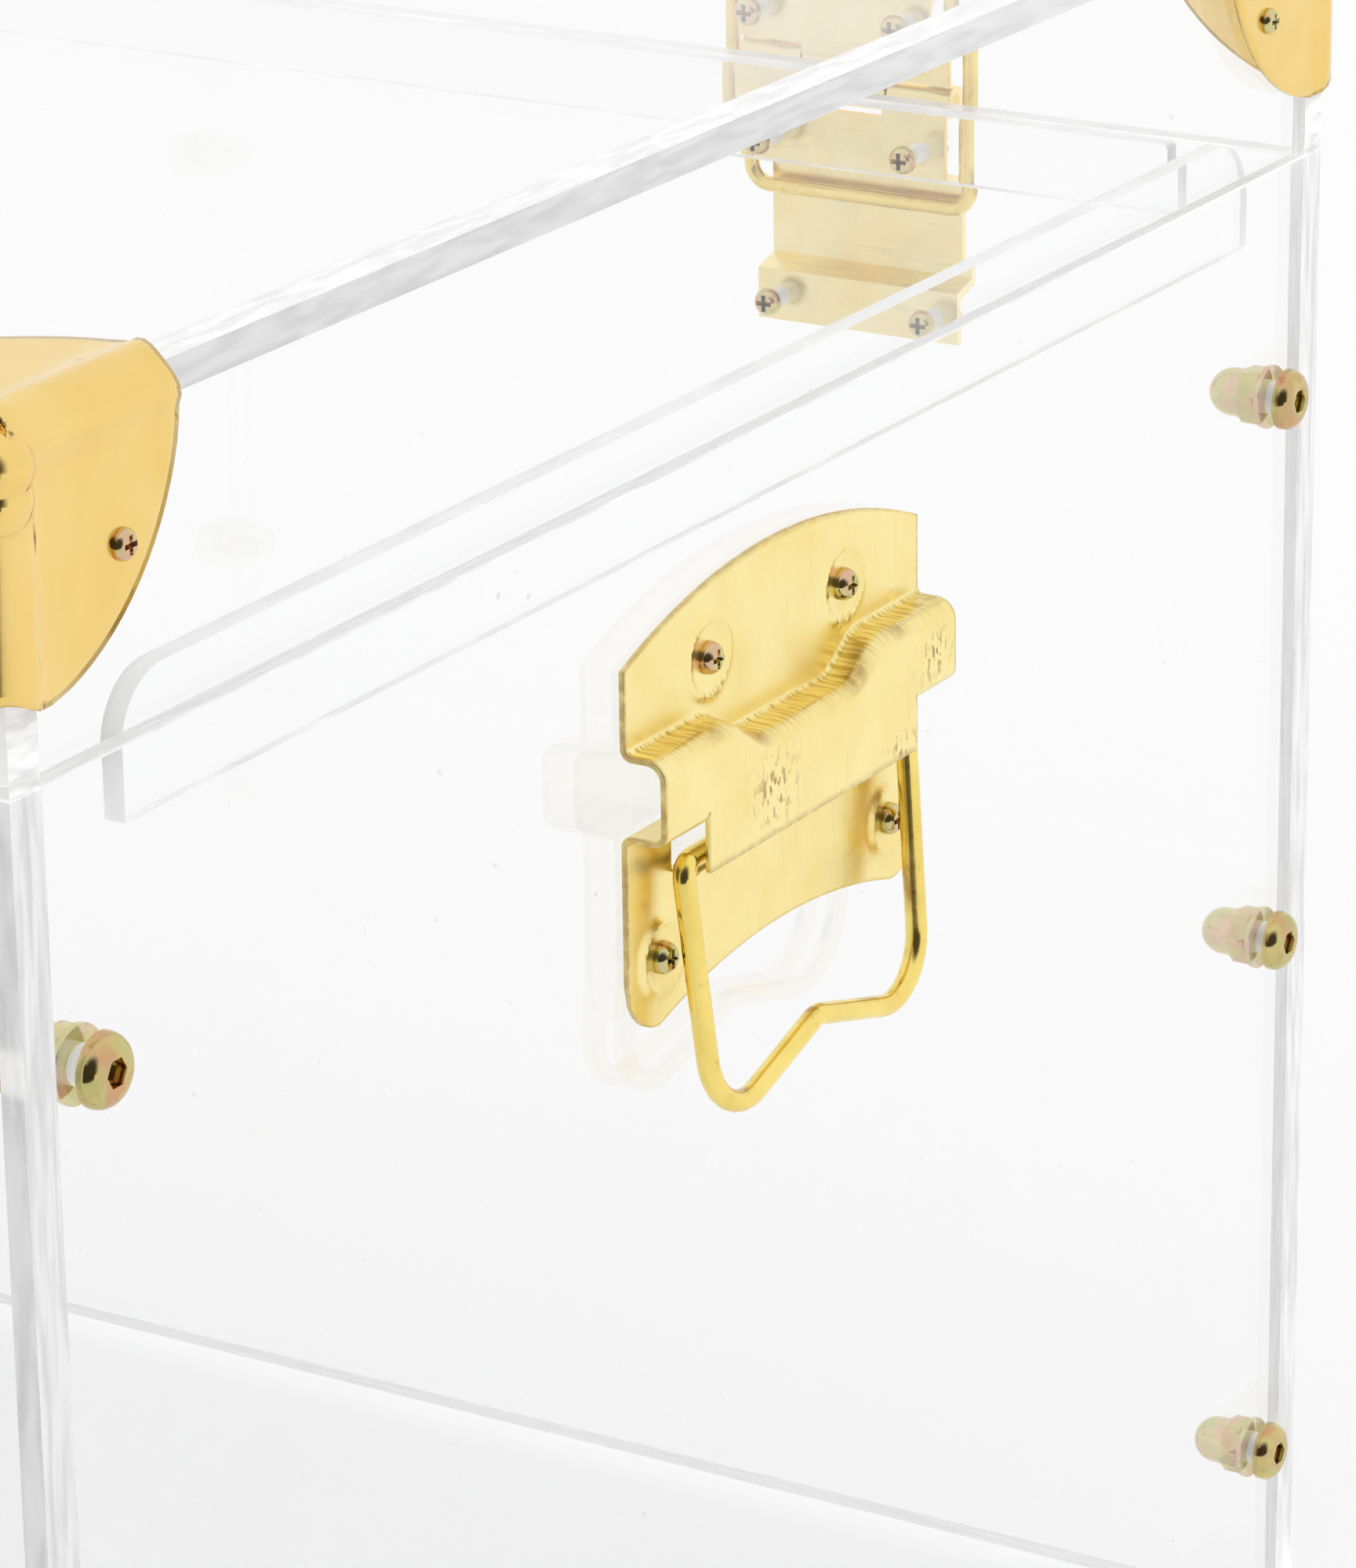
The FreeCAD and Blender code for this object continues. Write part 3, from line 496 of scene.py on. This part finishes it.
def ring_washer():
    eased, full = circle(WASHER_R - WASHER_EASE), circle(WASHER_R)
    rings = [(circle(BOLT_R), -WASHER_H), (eased, -WASHER_H), (full, WASHER_EASE - WASHER_H)]
    return rings + [(full, -WASHER_EASE), (eased, 0.0)]


def hex_nut():
    cut, full = hexagon(HEX_NUT_ACROSS, HEX_NUT_ACROSS * 0.55), hexagon(HEX_NUT_ACROSS)
    return [(cut, 0.0), (full, 0.3), (full, HEX_NUT_H - 0.3), (cut, HEX_NUT_H)]


def add_turned(mesh, rings, seat, out):
    """Rings of (outline, height in mm), set on a seat and closed at both ends."""
    side = out.cross(Vector((0, 0, 1)))
    if side.length < 0.5:
        side = Vector((1, 0, 0))
    up = side.cross(out)
    rows = []
    for outline, height in rings:
        middle = seat + out * (height * MM)
        row = []
        for step in range(SEGMENTS):
            angle = 2 * math.pi * step / SEGMENTS
            spoke = side * math.cos(angle) + up * math.sin(angle)
            row.append(mesh.verts.new(middle + spoke * (outline(angle) * MM)))
        rows.append(row)
    for low, high in zip(rows, rows[1:]):
        add_band(mesh, low, high)
    mesh.faces.new(reversed(rows[0]))
    mesh.faces.new(rows[-1])


def add_band(mesh, low, high):
    """Faces between two closed rings of vertices."""
    for step in range(len(low)):
        following = (step + 1) % len(low)
        mesh.faces.new((low[step], low[following], high[following], high[step]))


def finish_mesh(mesh, name, material, body, node, sharp_degrees=35):
    """Turn a bmesh into a piece that rides on a body and stands for a CAD node."""
    data = bpy.data.meshes.new(name)
    mesh.to_mesh(data)
    mesh.free()
    data.materials.append(material)
    data.shade_smooth()
    data.set_sharp_from_angle(angle=math.radians(sharp_degrees))
    piece = bpy.data.objects.new(name, data)
    bpy.context.scene.collection.objects.link(piece)
    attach(piece, body)
    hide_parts(node)
    return piece


def turned_piece(node, groups, body, material=ZINC):
    """One piece of plated fasteners; each group is a shape's rings and the seats it sits on."""
    mesh = bmesh.new()
    for rings, seats in groups:
        for seat, out in seats:
            add_turned(mesh, rings, seat, out)
    finish_mesh(mesh, node + "_detail", material, body, node)


# ---- where the fasteners sit, in mm from the rim ------------------------------------
BOLT_EDGE = {"front": 14.3, "back": 11.1}
BOLT_DROPS = (37.2, 126.7, 216.2)
HANDLE_SCREWS = ((18.0, -27.2), (30.7, -65.3))
PLATE_T = 0.9
HINGE_X = 135.0
HINGE_SCREW_X = 13.3
HINGE_SCREW_Z = (7.8, 35.2)
BODY_LEAF_DEPTHS = (9.0, 6.0)
LID_LEAF_DEPTHS = (5.7, 5.7)
LEAF_T = 1.2
NUT_REACH = 3.0
CAP_T = 1.2
CAP_SCREW_IN = 21.7
CAP_SCREW_DOWN = 18.7


def end_wall_seats(lift):
    """Seats of the end walls' bolts, lifted so far outwards from the wall's outer face."""
    seats = []
    for side in SIDES.values():
        for name, face in FACES.items():
            for drop in BOLT_DROPS:
                y = face * (BACK_Y - BOLT_EDGE[name] * MM)
                seats.append((Vector((side * (END_X + lift), y, RIM_Z - drop * MM)), Vector((side, 0, 0))))
    return seats


def turned_about(seats):
    return [(seat, out * -1) for seat, out in seats]


def handle_seats(side):
    seats = []
    for u, v in HANDLE_SCREWS:
        for hand in (-1, 1):
            place = Vector((side * (END_X + PLATE_T * MM), hand * u * MM, RIM_Z + v * MM))
            seats.append((place, Vector((side, 0, 0))))
    return seats


def hinge_seats(upward, z, depth):
    """Seats of one row of hinge screws, set so far off the back face (in mm, outwards)."""
    seats = []
    for side in SIDES.values():
        for hand in (-1, 1):
            x = (side * HINGE_X + hand * HINGE_SCREW_X) * MM
            seats.append((Vector((x, BACK_Y + depth * MM, RIM_Z + upward * z * MM)), Vector((0, 1, 0))))
    return seats


def cap_seats():
    seats = []
    for side in SIDES.values():
        for face in FACES.values():
            corner = Vector((side * END_X, face * BACK_Y, TOP_Z))
            inward = Vector((-side * CAP_SCREW_IN, -face * CAP_SCREW_IN, -CAP_SCREW_DOWN)) * MM
            outs = (Vector((side, 0, 0)), Vector((0, face, 0)), Vector((0, 0, 1)))
            for axis, out in enumerate(outs):
                place = corner + inward
                place[axis] = corner[axis] + out[axis] * CAP_T * MM
                seats.append((place, out))
    return seats


def make_hinge_fasteners(part, upward, depths):
    screws, nuts = [], []
    for z, depth in zip(HINGE_SCREW_Z, depths):
        screw = pan_screw(*HINGE_SCREW_SIZE, depth + LEAF_T + NUT_REACH)
        screws.append((screw, turned_about(hinge_seats(upward, z, -depth))))
        nuts.append((hex_nut(), hinge_seats(upward, z, LEAF_T)))
    turned_piece("hinge_" + part + "_screws", screws, part)
    turned_piece("hinge_" + part + "_nuts", nuts, part)


def make_fasteners():
    turned_piece("wall_bolts", [(button_bolt(), end_wall_seats(0))], "body", BOLT)
    turned_piece("wall_washers", [(ring_washer(), end_wall_seats(-WALL))], "body")
    turned_piece("dome_nuts", [(dome_nut(), turned_about(end_wall_seats(-WALL - WASHER_H * MM)))], "body")
    for name, side in SIDES.items():
        screws = [(pan_screw(*HANDLE_SCREW_SIZE), handle_seats(side))]
        turned_piece("handle_" + name + "_screws", screws, "body")
    make_hinge_fasteners("body", -1, BODY_LEAF_DEPTHS)
    make_hinge_fasteners("lid", 1, LID_LEAF_DEPTHS)
    turned_piece("lid_corner_screws", [(pan_screw(*CAP_SCREW_SIZE), cap_seats())], "lid")


# ---- handle plates: u along the wall, v up from the rim, w off the wall, in mm ------
PLATE_HALF = 39.2
ARCH_TOP_V = -15.4
ARCH_DROP = 7.7
BARREL_TOP_V = -34.5
BARREL_OUT = 7.0
DIP = 4.5
DIP_FLAT_HALF = 11.0
DIP_RAMP_HALF = 21.5
BEND_R = 0.9
KNEE_R = 3.0
EAR_BOTTOM_V = -46.5
EAR_R = 2.0
EAR_INNER_R = 0.6
APRON_HALF = 27.7
APRON_BOTTOM_V = -53.3
FOLD_V = -54.2
LIP_R = 2.5
PIVOT_V = -51.7
PIVOT_W = 3.9
BELLY_HALF = 31.5
BELLY_TOP_V = -70.1
BELLY_DROP = 4.6
TOE_V = -66.5
TOE_DEPTH = 8.2
RING_RADII = (5.3, 5.0)
RING_HEIGHT = 0.55
RING_WIDTH = 0.6
COLUMNS = 112
SHEET_T = 0.85
SHEET_EASE = 0.15
WORN_BENDS = ((13.5, 3.0, 1.0), (24.5, 2.0, 0.8))
SCUFFS = ((-11.0, -47.0, 5.0, 4.0), (33.0, -41.0, 4.0, 3.0), (24.0, -51.5, 4.0, 1.5))


def smooth(value, low, high):
    share = min(1.0, max(0.0, (value - low) / (high - low)))
    return share * share * (3 - 2 * share)


def lump(value, centre, spread_by):
    return math.exp(-((value - centre) / spread_by) ** 2)


def sagged(u, peak, chord_half, drop):
    """Height of a shallow arc that falls by drop at chord_half from the middle."""
    radius = (chord_half ** 2 + drop ** 2) / (2 * drop)
    return peak - (radius - math.sqrt(radius ** 2 - u ** 2))


def plate_top(u):
    return sagged(u, ARCH_TOP_V, PLATE_HALF, ARCH_DROP)


def plate_bottom(u):
    if abs(u) < BELLY_HALF:
        return sagged(u, BELLY_TOP_V, BELLY_HALF, BELLY_DROP)
    share = (abs(u) - BELLY_HALF) / (PLATE_HALF - BELLY_HALF)
    return TOE_V - TOE_DEPTH * math.sqrt(max(0.0, 1 - share ** 2))


def emboss(u, v):
    """Height of the stamped rims round the screw holes."""
    height = 0.0
    for (screw_u, screw_v), ring in zip(HANDLE_SCREWS, RING_RADII):
        height += RING_HEIGHT * lump(math.hypot(abs(u) - screw_u, v - screw_v), ring, RING_WIDTH)
    return height


def arc(centre, radius, start_deg, end_deg, steps):
    """Points (v, w) round a bend in the plate's section; 0 degrees points off the wall."""
    points = []
    for step in range(steps + 1):
        angle = math.radians(start_deg + (end_deg - start_deg) * step / steps)
        points.append((centre[0] + radius * math.sin(angle), centre[1] + radius * math.cos(angle)))
    return points


def spread(start, end, steps):
    return [start + (end - start) * step / steps for step in range(steps + 1)]


def embossed(u, start, end, steps):
    return [(v, PLATE_T + emboss(u, v)) for v in spread(start, end, steps)]


def plate_column(u):
    """The outer surface of the plate at u, as chains of (v, w) points."""
    top = BARREL_TOP_V - DIP * (1 - smooth(abs(u), DIP_FLAT_HALF, DIP_RAMP_HALF))
    ear_arc_v = EAR_BOTTOM_V + EAR_R
    flat = embossed(u, plate_top(u), top + BEND_R, 26)
    bend = arc((top + BEND_R, PLATE_T + BEND_R), BEND_R, 180, 270, 4)[1:]
    knee = arc((top - KNEE_R, BARREL_OUT - KNEE_R), KNEE_R, 90, 0, 8)
    face = [(v, BARREL_OUT) for v in spread(top - KNEE_R, ear_arc_v, 8)][1:]
    foot = arc((ear_arc_v, BARREL_OUT - EAR_R), EAR_R, 0, -90, 5)[1:]
    foot += arc((EAR_BOTTOM_V - EAR_INNER_R, PLATE_T + EAR_INNER_R), EAR_INNER_R, 90, 180, 3)
    foot += [(v, PLATE_T) for v in spread(EAR_BOTTOM_V - EAR_INNER_R - 0.2, FOLD_V, 5)][:-1]
    apron = [(v, BARREL_OUT) for v in spread(ear_arc_v, APRON_BOTTOM_V, 8)][1:]
    lip = arc((PIVOT_V, PIVOT_W), LIP_R, -60, -90, 4)
    lower = embossed(u, FOLD_V, plate_bottom(u), 34)
    return {"shared": flat + bend + knee + face, "foot": foot, "apron": apron, "lip": lip, "lower": lower}


def marks_at(u, v, w):
    """How worn, creased and scuffed the plating is at a point of the plate."""
    rim = max(abs(u) - PLATE_HALF + 0.9, v - plate_top(u) + 0.7, plate_bottom(u) + 0.7 - v)
    is_ledge = -46 < v < -32 and PLATE_T + 0.1 < w < BARREL_OUT - 0.3
    hem = lump(v, APRON_BOTTOM_V, 0.5) if w > 6 else 0.0
    wear_and_shade = max(0.65 * smooth(rim, 0.35, 0.9), 0.6 * hem)
    crease = 0.0
    if is_ledge:
        at_corner = sum(share * lump(abs(u), middle, width) for middle, width, share in WORN_BENDS)
        wear_and_shade = max(wear_and_shade, 0.75 * lump(w, 5.4, 1.2) * at_corner)
        crease = lump(w, 3.2, 2.2) + 0.6 * lump(w, 1.2, 0.35)
    scuff = 0.0
    if w > BARREL_OUT - 0.5:
        scuff = sum(lump(u, at_u, wide) * lump(v, at_v, high) for at_u, at_v, wide, high in SCUFFS)
    return {"wear_and_shade": wear_and_shade, "crease": min(1.0, crease), "scuff": min(1.0, scuff)}


def plate_strips(column, as_middle):
    """The column's chains joined up: two strips where the apron hangs free, else one."""
    if as_middle:
        return [column["shared"] + column["apron"], column["lip"] + column["lower"]]
    return [column["shared"] + column["foot"] + column["lower"]]


def add_plate_columns(mesh, side):
    layers = {mark: mesh.verts.layers.float.new(mark) for mark in ("wear_and_shade", "crease", "scuff")}
    columns = []
    for u in spread(-PLATE_HALF, PLATE_HALF, COLUMNS):
        column = {"middle": abs(u) < APRON_HALF}
        for chain, points in plate_column(u).items():
            column[chain] = []
            for v, w in points:
                vert = mesh.verts.new(Vector((side * (END_X + w * MM), side * u * MM, RIM_Z + v * MM)))
                for mark, share in marks_at(u, v, w).items():
                    vert[layers[mark]] = share
                column[chain].append(vert)
        columns.append(column)
    return columns


def handle_plate(name, side):
    mesh = bmesh.new()
    columns = add_plate_columns(mesh, side)
    for before, after in zip(columns, columns[1:]):
        as_middle = before["middle"] or after["middle"]
        for left, right in zip(plate_strips(before, as_middle), plate_strips(after, as_middle)):
            for row in range(len(left) - 1):
                mesh.faces.new((left[row], left[row + 1], right[row + 1], right[row]))
    loose = [vert for vert in mesh.verts if not vert.link_faces]
    bmesh.ops.delete(mesh, geom=loose, context="VERTS")
    bmesh.ops.recalc_face_normals(mesh, faces=mesh.faces)
    mesh.faces.ensure_lookup_table()
    if mesh.faces[0].normal.x * side < 0:
        bmesh.ops.reverse_faces(mesh, faces=mesh.faces)
    node = "handle_" + name + "_plate"
    piece = finish_mesh(mesh, node + "_stamped", PLATE, "body", node, sharp_degrees=50)
    add_thickness(piece, SHEET_T)
    add_bevel(piece, SHEET_EASE * MM)


def add_thickness(piece, thickness):
    thick = piece.modifiers.new("sheet thickness", "SOLIDIFY")
    thick.thickness = thickness * MM
    thick.offset = -1


# ---- bails and stop loops, in mm ----------------------------------------------------
WIRE_R = 1.55
WIRE_SIDES = 24
WIRE_STEP = 1.5
WEAR_RHYTHM = 0.37
LOOP_WIRE_R = 1.25
BAIL_LEAN = math.radians(5.2)
BAIL_HALF = ((18.0, 0.0), (30.3, 0.0), (28.0, 39.2))
BAIL_PEAK_S = 31.4
BAIL_RADII = (2.4, 9.0, 5.0, 9.0, 2.4)
LOOP_HALF_X = 20.0
LOOP_HALF_Z = 17.5
LOOP_CORNER = 3.4
PIN_Y = 2.75


def rounded_points(corners, radii, steps=10):
    """Points of a polyline whose inner corners are turned into arcs."""
    points = [corners[0]]
    for before, corner, after, radius in zip(corners, corners[1:], corners[2:], radii):
        inward = (before - corner).normalized()
        outward = (after - corner).normalized()
        half_turn = inward.angle(outward) / 2
        centre = corner + (inward + outward).normalized() * (radius / math.sin(half_turn))
        start = corner + inward * (radius / math.tan(half_turn)) - centre
        end = corner + outward * (radius / math.tan(half_turn)) - centre
        for step in range(steps + 1):
            points.append(centre + start.lerp(end, step / steps).normalized() * radius)
    points.append(corners[-1])
    return points


def with_midpoints(points, longest):
    """The same path with long straights divided, so that marks can vary along them."""
    path = [points[0]]
    for before, after in zip(points, points[1:]):
        steps = max(1, int((after - before).length / longest))
        path += [before.lerp(after, step / steps) for step in range(1, steps + 1)]
    return path


def add_wire_ring(mesh, wear_and_shade, index, point, across, normal, radius):
    """One ring round the wire, darker along one side at every so many rings."""
    worn_and_shaded = 0.8 * smooth(math.sin(index * WEAR_RHYTHM), 0.55, 0.9)
    ring = []
    for step in range(WIRE_SIDES):
        angle = 2 * math.pi * step / WIRE_SIDES
        offset = across * math.cos(angle) + normal * math.sin(angle)
        vert = mesh.verts.new((point + offset * radius) * MM)
        vert[wear_and_shade] = worn_and_shaded * lump(math.cos(angle), -1.0, 0.25)
        ring.append(vert)
    return ring


def wire(node, points, radius, normal, is_closed, body):
    """A round wire along a flat path in mm; normal is square to the path's plane."""
    mesh = bmesh.new()
    wear_and_shade = mesh.verts.layers.float.new("wear_and_shade")
    path = with_midpoints(points, WIRE_STEP)
    if is_closed:
        path = path[:-1]
    rings = []
    for index, point in enumerate(path):
        before = path[index - 1] if index or is_closed else point
        after = path[(index + 1) % len(path)] if index + 1 < len(path) or is_closed else point
        across = (after - before).normalized().cross(normal)
        rings.append(add_wire_ring(mesh, wear_and_shade, index, point, across, normal, radius))
    for low, high in zip(rings, rings[1:]):
        add_band(mesh, low, high)
    if is_closed:
        add_band(mesh, rings[-1], rings[0])
    else:
        mesh.faces.new(rings[0])
        mesh.faces.new(rings[-1])
    bmesh.ops.recalc_face_normals(mesh, faces=mesh.faces)
    finish_mesh(mesh, node + "_wire", WIRE, body, node)


def bail(name, side):
    def at(u, s):
        w = PIVOT_W + s * math.sin(BAIL_LEAN)
        v = PIVOT_V - s * math.cos(BAIL_LEAN)
        return Vector((side * (END_X / MM + w), side * u, RIM_Z / MM + v))

    corners = [at(-u, s) for u, s in BAIL_HALF]
    corners.append(at(0, BAIL_PEAK_S))
    corners += [at(u, s) for u, s in reversed(BAIL_HALF)]
    normal = Vector((side * math.cos(BAIL_LEAN), 0, math.sin(BAIL_LEAN)))
    points = rounded_points(corners, BAIL_RADII)
    wire("handle_" + name + "_bail", points, WIRE_R, normal, False, name + "_bail")


def stop_loop(name, side):
    centre = Vector((side * HINGE_X, BACK_Y / MM + PIN_Y, RIM_Z / MM))
    low = centre - Vector((0, 0, LOOP_HALF_Z))
    signs = ((1, -1), (1, 1), (-1, 1), (-1, -1))
    corners = [centre + Vector((x * LOOP_HALF_X, 0, z * LOOP_HALF_Z)) for x, z in signs]
    points = rounded_points([low] + corners + [low], [LOOP_CORNER] * 4)
    body = name + "_stop_loop"
    wire("hinge_" + name + "_stop_loop", points, LOOP_WIRE_R, Vector((0, 1, 0)), True, body)


# ---- lid corner caps, in mm ---------------------------------------------------------
CAP_REACH = 34.5
CAP_NECK = 3.0
CAP_NECK_WIDTH = 4.0
RIDGE_INSET = 2.6
RIDGE_R = 4.8
RIDGE_SPAN = RIDGE_INSET + math.sqrt(RIDGE_R ** 2 - (CAP_T + RIDGE_INSET) ** 2)
CAP_SKIN_START = 2.0
CAP_SKIN_STEPS = 24
CAP_SKIN_T = 0.9
CAP_CREST_BLEND = 3.0
CAP_BALLS = (((-1.5, -1.5, -4.6), 4.1), ((-1.7, -1.7, -8.6), 3.9))
CAP_MIDDLE = 20.0
MERGE_WITHIN = 0.02


def ridge(distance):
    """Place and height of the cap's skin, at a distance in from the lid's edge."""
    if distance >= RIDGE_SPAN:
        return distance, CAP_T
    lean = math.acos((CAP_T + RIDGE_INSET) / RIDGE_R)
    angle = math.pi / 4 + (math.pi / 4 + lean) * distance / RIDGE_SPAN
    return RIDGE_INSET - RIDGE_R * math.cos(angle), RIDGE_R * math.sin(angle) - RIDGE_INSET


def cap_outline(angle):
    """How far the cap reaches from the lid's corner, drawn in a little at the lid's edges."""
    from_edge = CAP_REACH * min(math.sin(angle), math.cos(angle))
    return CAP_REACH - CAP_NECK * lump(from_edge, 0.0, CAP_NECK_WIDTH)


def cap_skin():
    """Points of one face of the cap: rows of (inward along one edge, inward along the other, height)."""
    near_edge = [math.radians(degrees) for degrees in (0, 1.5, 3, 5, 7, 9, 12)]
    middle = [math.radians(degrees) for degrees in range(16, 75, 4)]
    rows = []
    for angle in near_edge + middle + [math.pi / 2 - angle for angle in reversed(near_edge)]:
        row = []
        for reach in spread(CAP_SKIN_START, cap_outline(angle), CAP_SKIN_STEPS):
            along_a, along_b = reach * math.cos(angle), reach * math.sin(angle)
            a, height_a = ridge(along_a)
            b, height_b = ridge(along_b)
            rise_a = (height_a - CAP_T) * smooth(along_b, 0.0, CAP_CREST_BLEND)
            rise_b = (height_b - CAP_T) * smooth(along_a, 0.0, CAP_CREST_BLEND)
            row.append((a, b, min(CAP_T + rise_a + rise_b, RIDGE_R - RIDGE_INSET)))
        rows.append(row)
    return rows


def add_cap_face(mesh, skin, wear_and_shade, corner, signs, axis):
    """One of the cap's three faces; painted shade outlines the balls where they meet the skin."""
    first, second = (axis + 1) % 3, (axis + 2) % 3
    grid = []
    for row in skin:
        verts = []
        for a, b, height in row:
            local = Vector((0, 0, 0))
            local[first], local[second], local[axis] = -a, -b, height
            vert = mesh.verts.new(corner + local * signs * MM)
            # painted shade: a dark line along the crease where each ball meets the cap's skin
            vert[wear_and_shade] = max(lump((local - Vector(place)).length, radius, 0.5) for place, radius in CAP_BALLS)
            verts.append(vert)
        grid.append(verts)
    for low, high in zip(grid, grid[1:]):
        for step in range(len(low) - 1):
            mesh.faces.new((low[step], low[step + 1], high[step + 1], high[step]))


def add_ball(mesh, corner, signs, place, radius):
    """A ball on the lid's corner; the part of it inside the lid is pressed flat against the lid."""
    ball = bmesh.ops.create_uvsphere(mesh, u_segments=32, v_segments=20, radius=radius)
    for vert in ball["verts"]:
        local = vert.co + place
        highest = max(local)
        if highest < 0:
            local[list(local).index(highest)] = 0.0
        vert.co = corner + local * signs * MM
    faces = {near for vert in ball["verts"] for near in vert.link_faces}
    bmesh.ops.recalc_face_normals(mesh, faces=list(faces))


def corner_cap(node, side, face):
    """A stamped brass cap over one corner of the lid, with raised edges and a ball at the tip."""
    mesh = bmesh.new()
    # on the caps this layer holds painted shade round the balls, not wear
    wear_and_shade = mesh.verts.layers.float.new("wear_and_shade")
    skin = cap_skin()
    signs = Vector((side, face, 1))
    corner = Vector((side * END_X, face * BACK_Y, TOP_Z))
    for axis in range(3):
        add_cap_face(mesh, skin, wear_and_shade, corner, signs, axis)
    bmesh.ops.remove_doubles(mesh, verts=mesh.verts, dist=MERGE_WITHIN * MM)
    bmesh.ops.recalc_face_normals(mesh, faces=mesh.faces)
    middle = corner - signs * CAP_MIDDLE * MM
    outward = sum(patch.normal.dot(patch.calc_center_median() - middle) for patch in mesh.faces)
    if outward < 0:
        bmesh.ops.reverse_faces(mesh, faces=mesh.faces)
    for place, radius in CAP_BALLS:
        add_ball(mesh, corner, signs, Vector(place), radius)
    piece = finish_mesh(mesh, node + "_stamped", BRASS, "lid", node, sharp_degrees=60)
    add_thickness(piece, CAP_SKIN_T)


def make_caps():
    for side_name, side in SIDES.items():
        for face_name, face in FACES.items():
            corner_cap("lid_corner_" + face_name + "_" + side_name, side, face)


# ---- build --------------------------------------------------------------------------
MOST_BOUNCES = 32

make_camera()
make_world()
make_floor()
make_dark_card()
dress_cad_nodes()
make_fasteners()
for side_name, side in SIDES.items():
    handle_plate(side_name, side)
    bail(side_name, side)
    stop_loop(side_name, side)
make_caps()

scene = bpy.context.scene
scene.view_settings.view_transform = "Standard"
scene.cycles.max_bounces = MOST_BOUNCES
scene.cycles.transmission_bounces = MOST_BOUNCES
scene.cycles.transparent_max_bounces = MOST_BOUNCES
scene.cycles.diffuse_bounces = 8
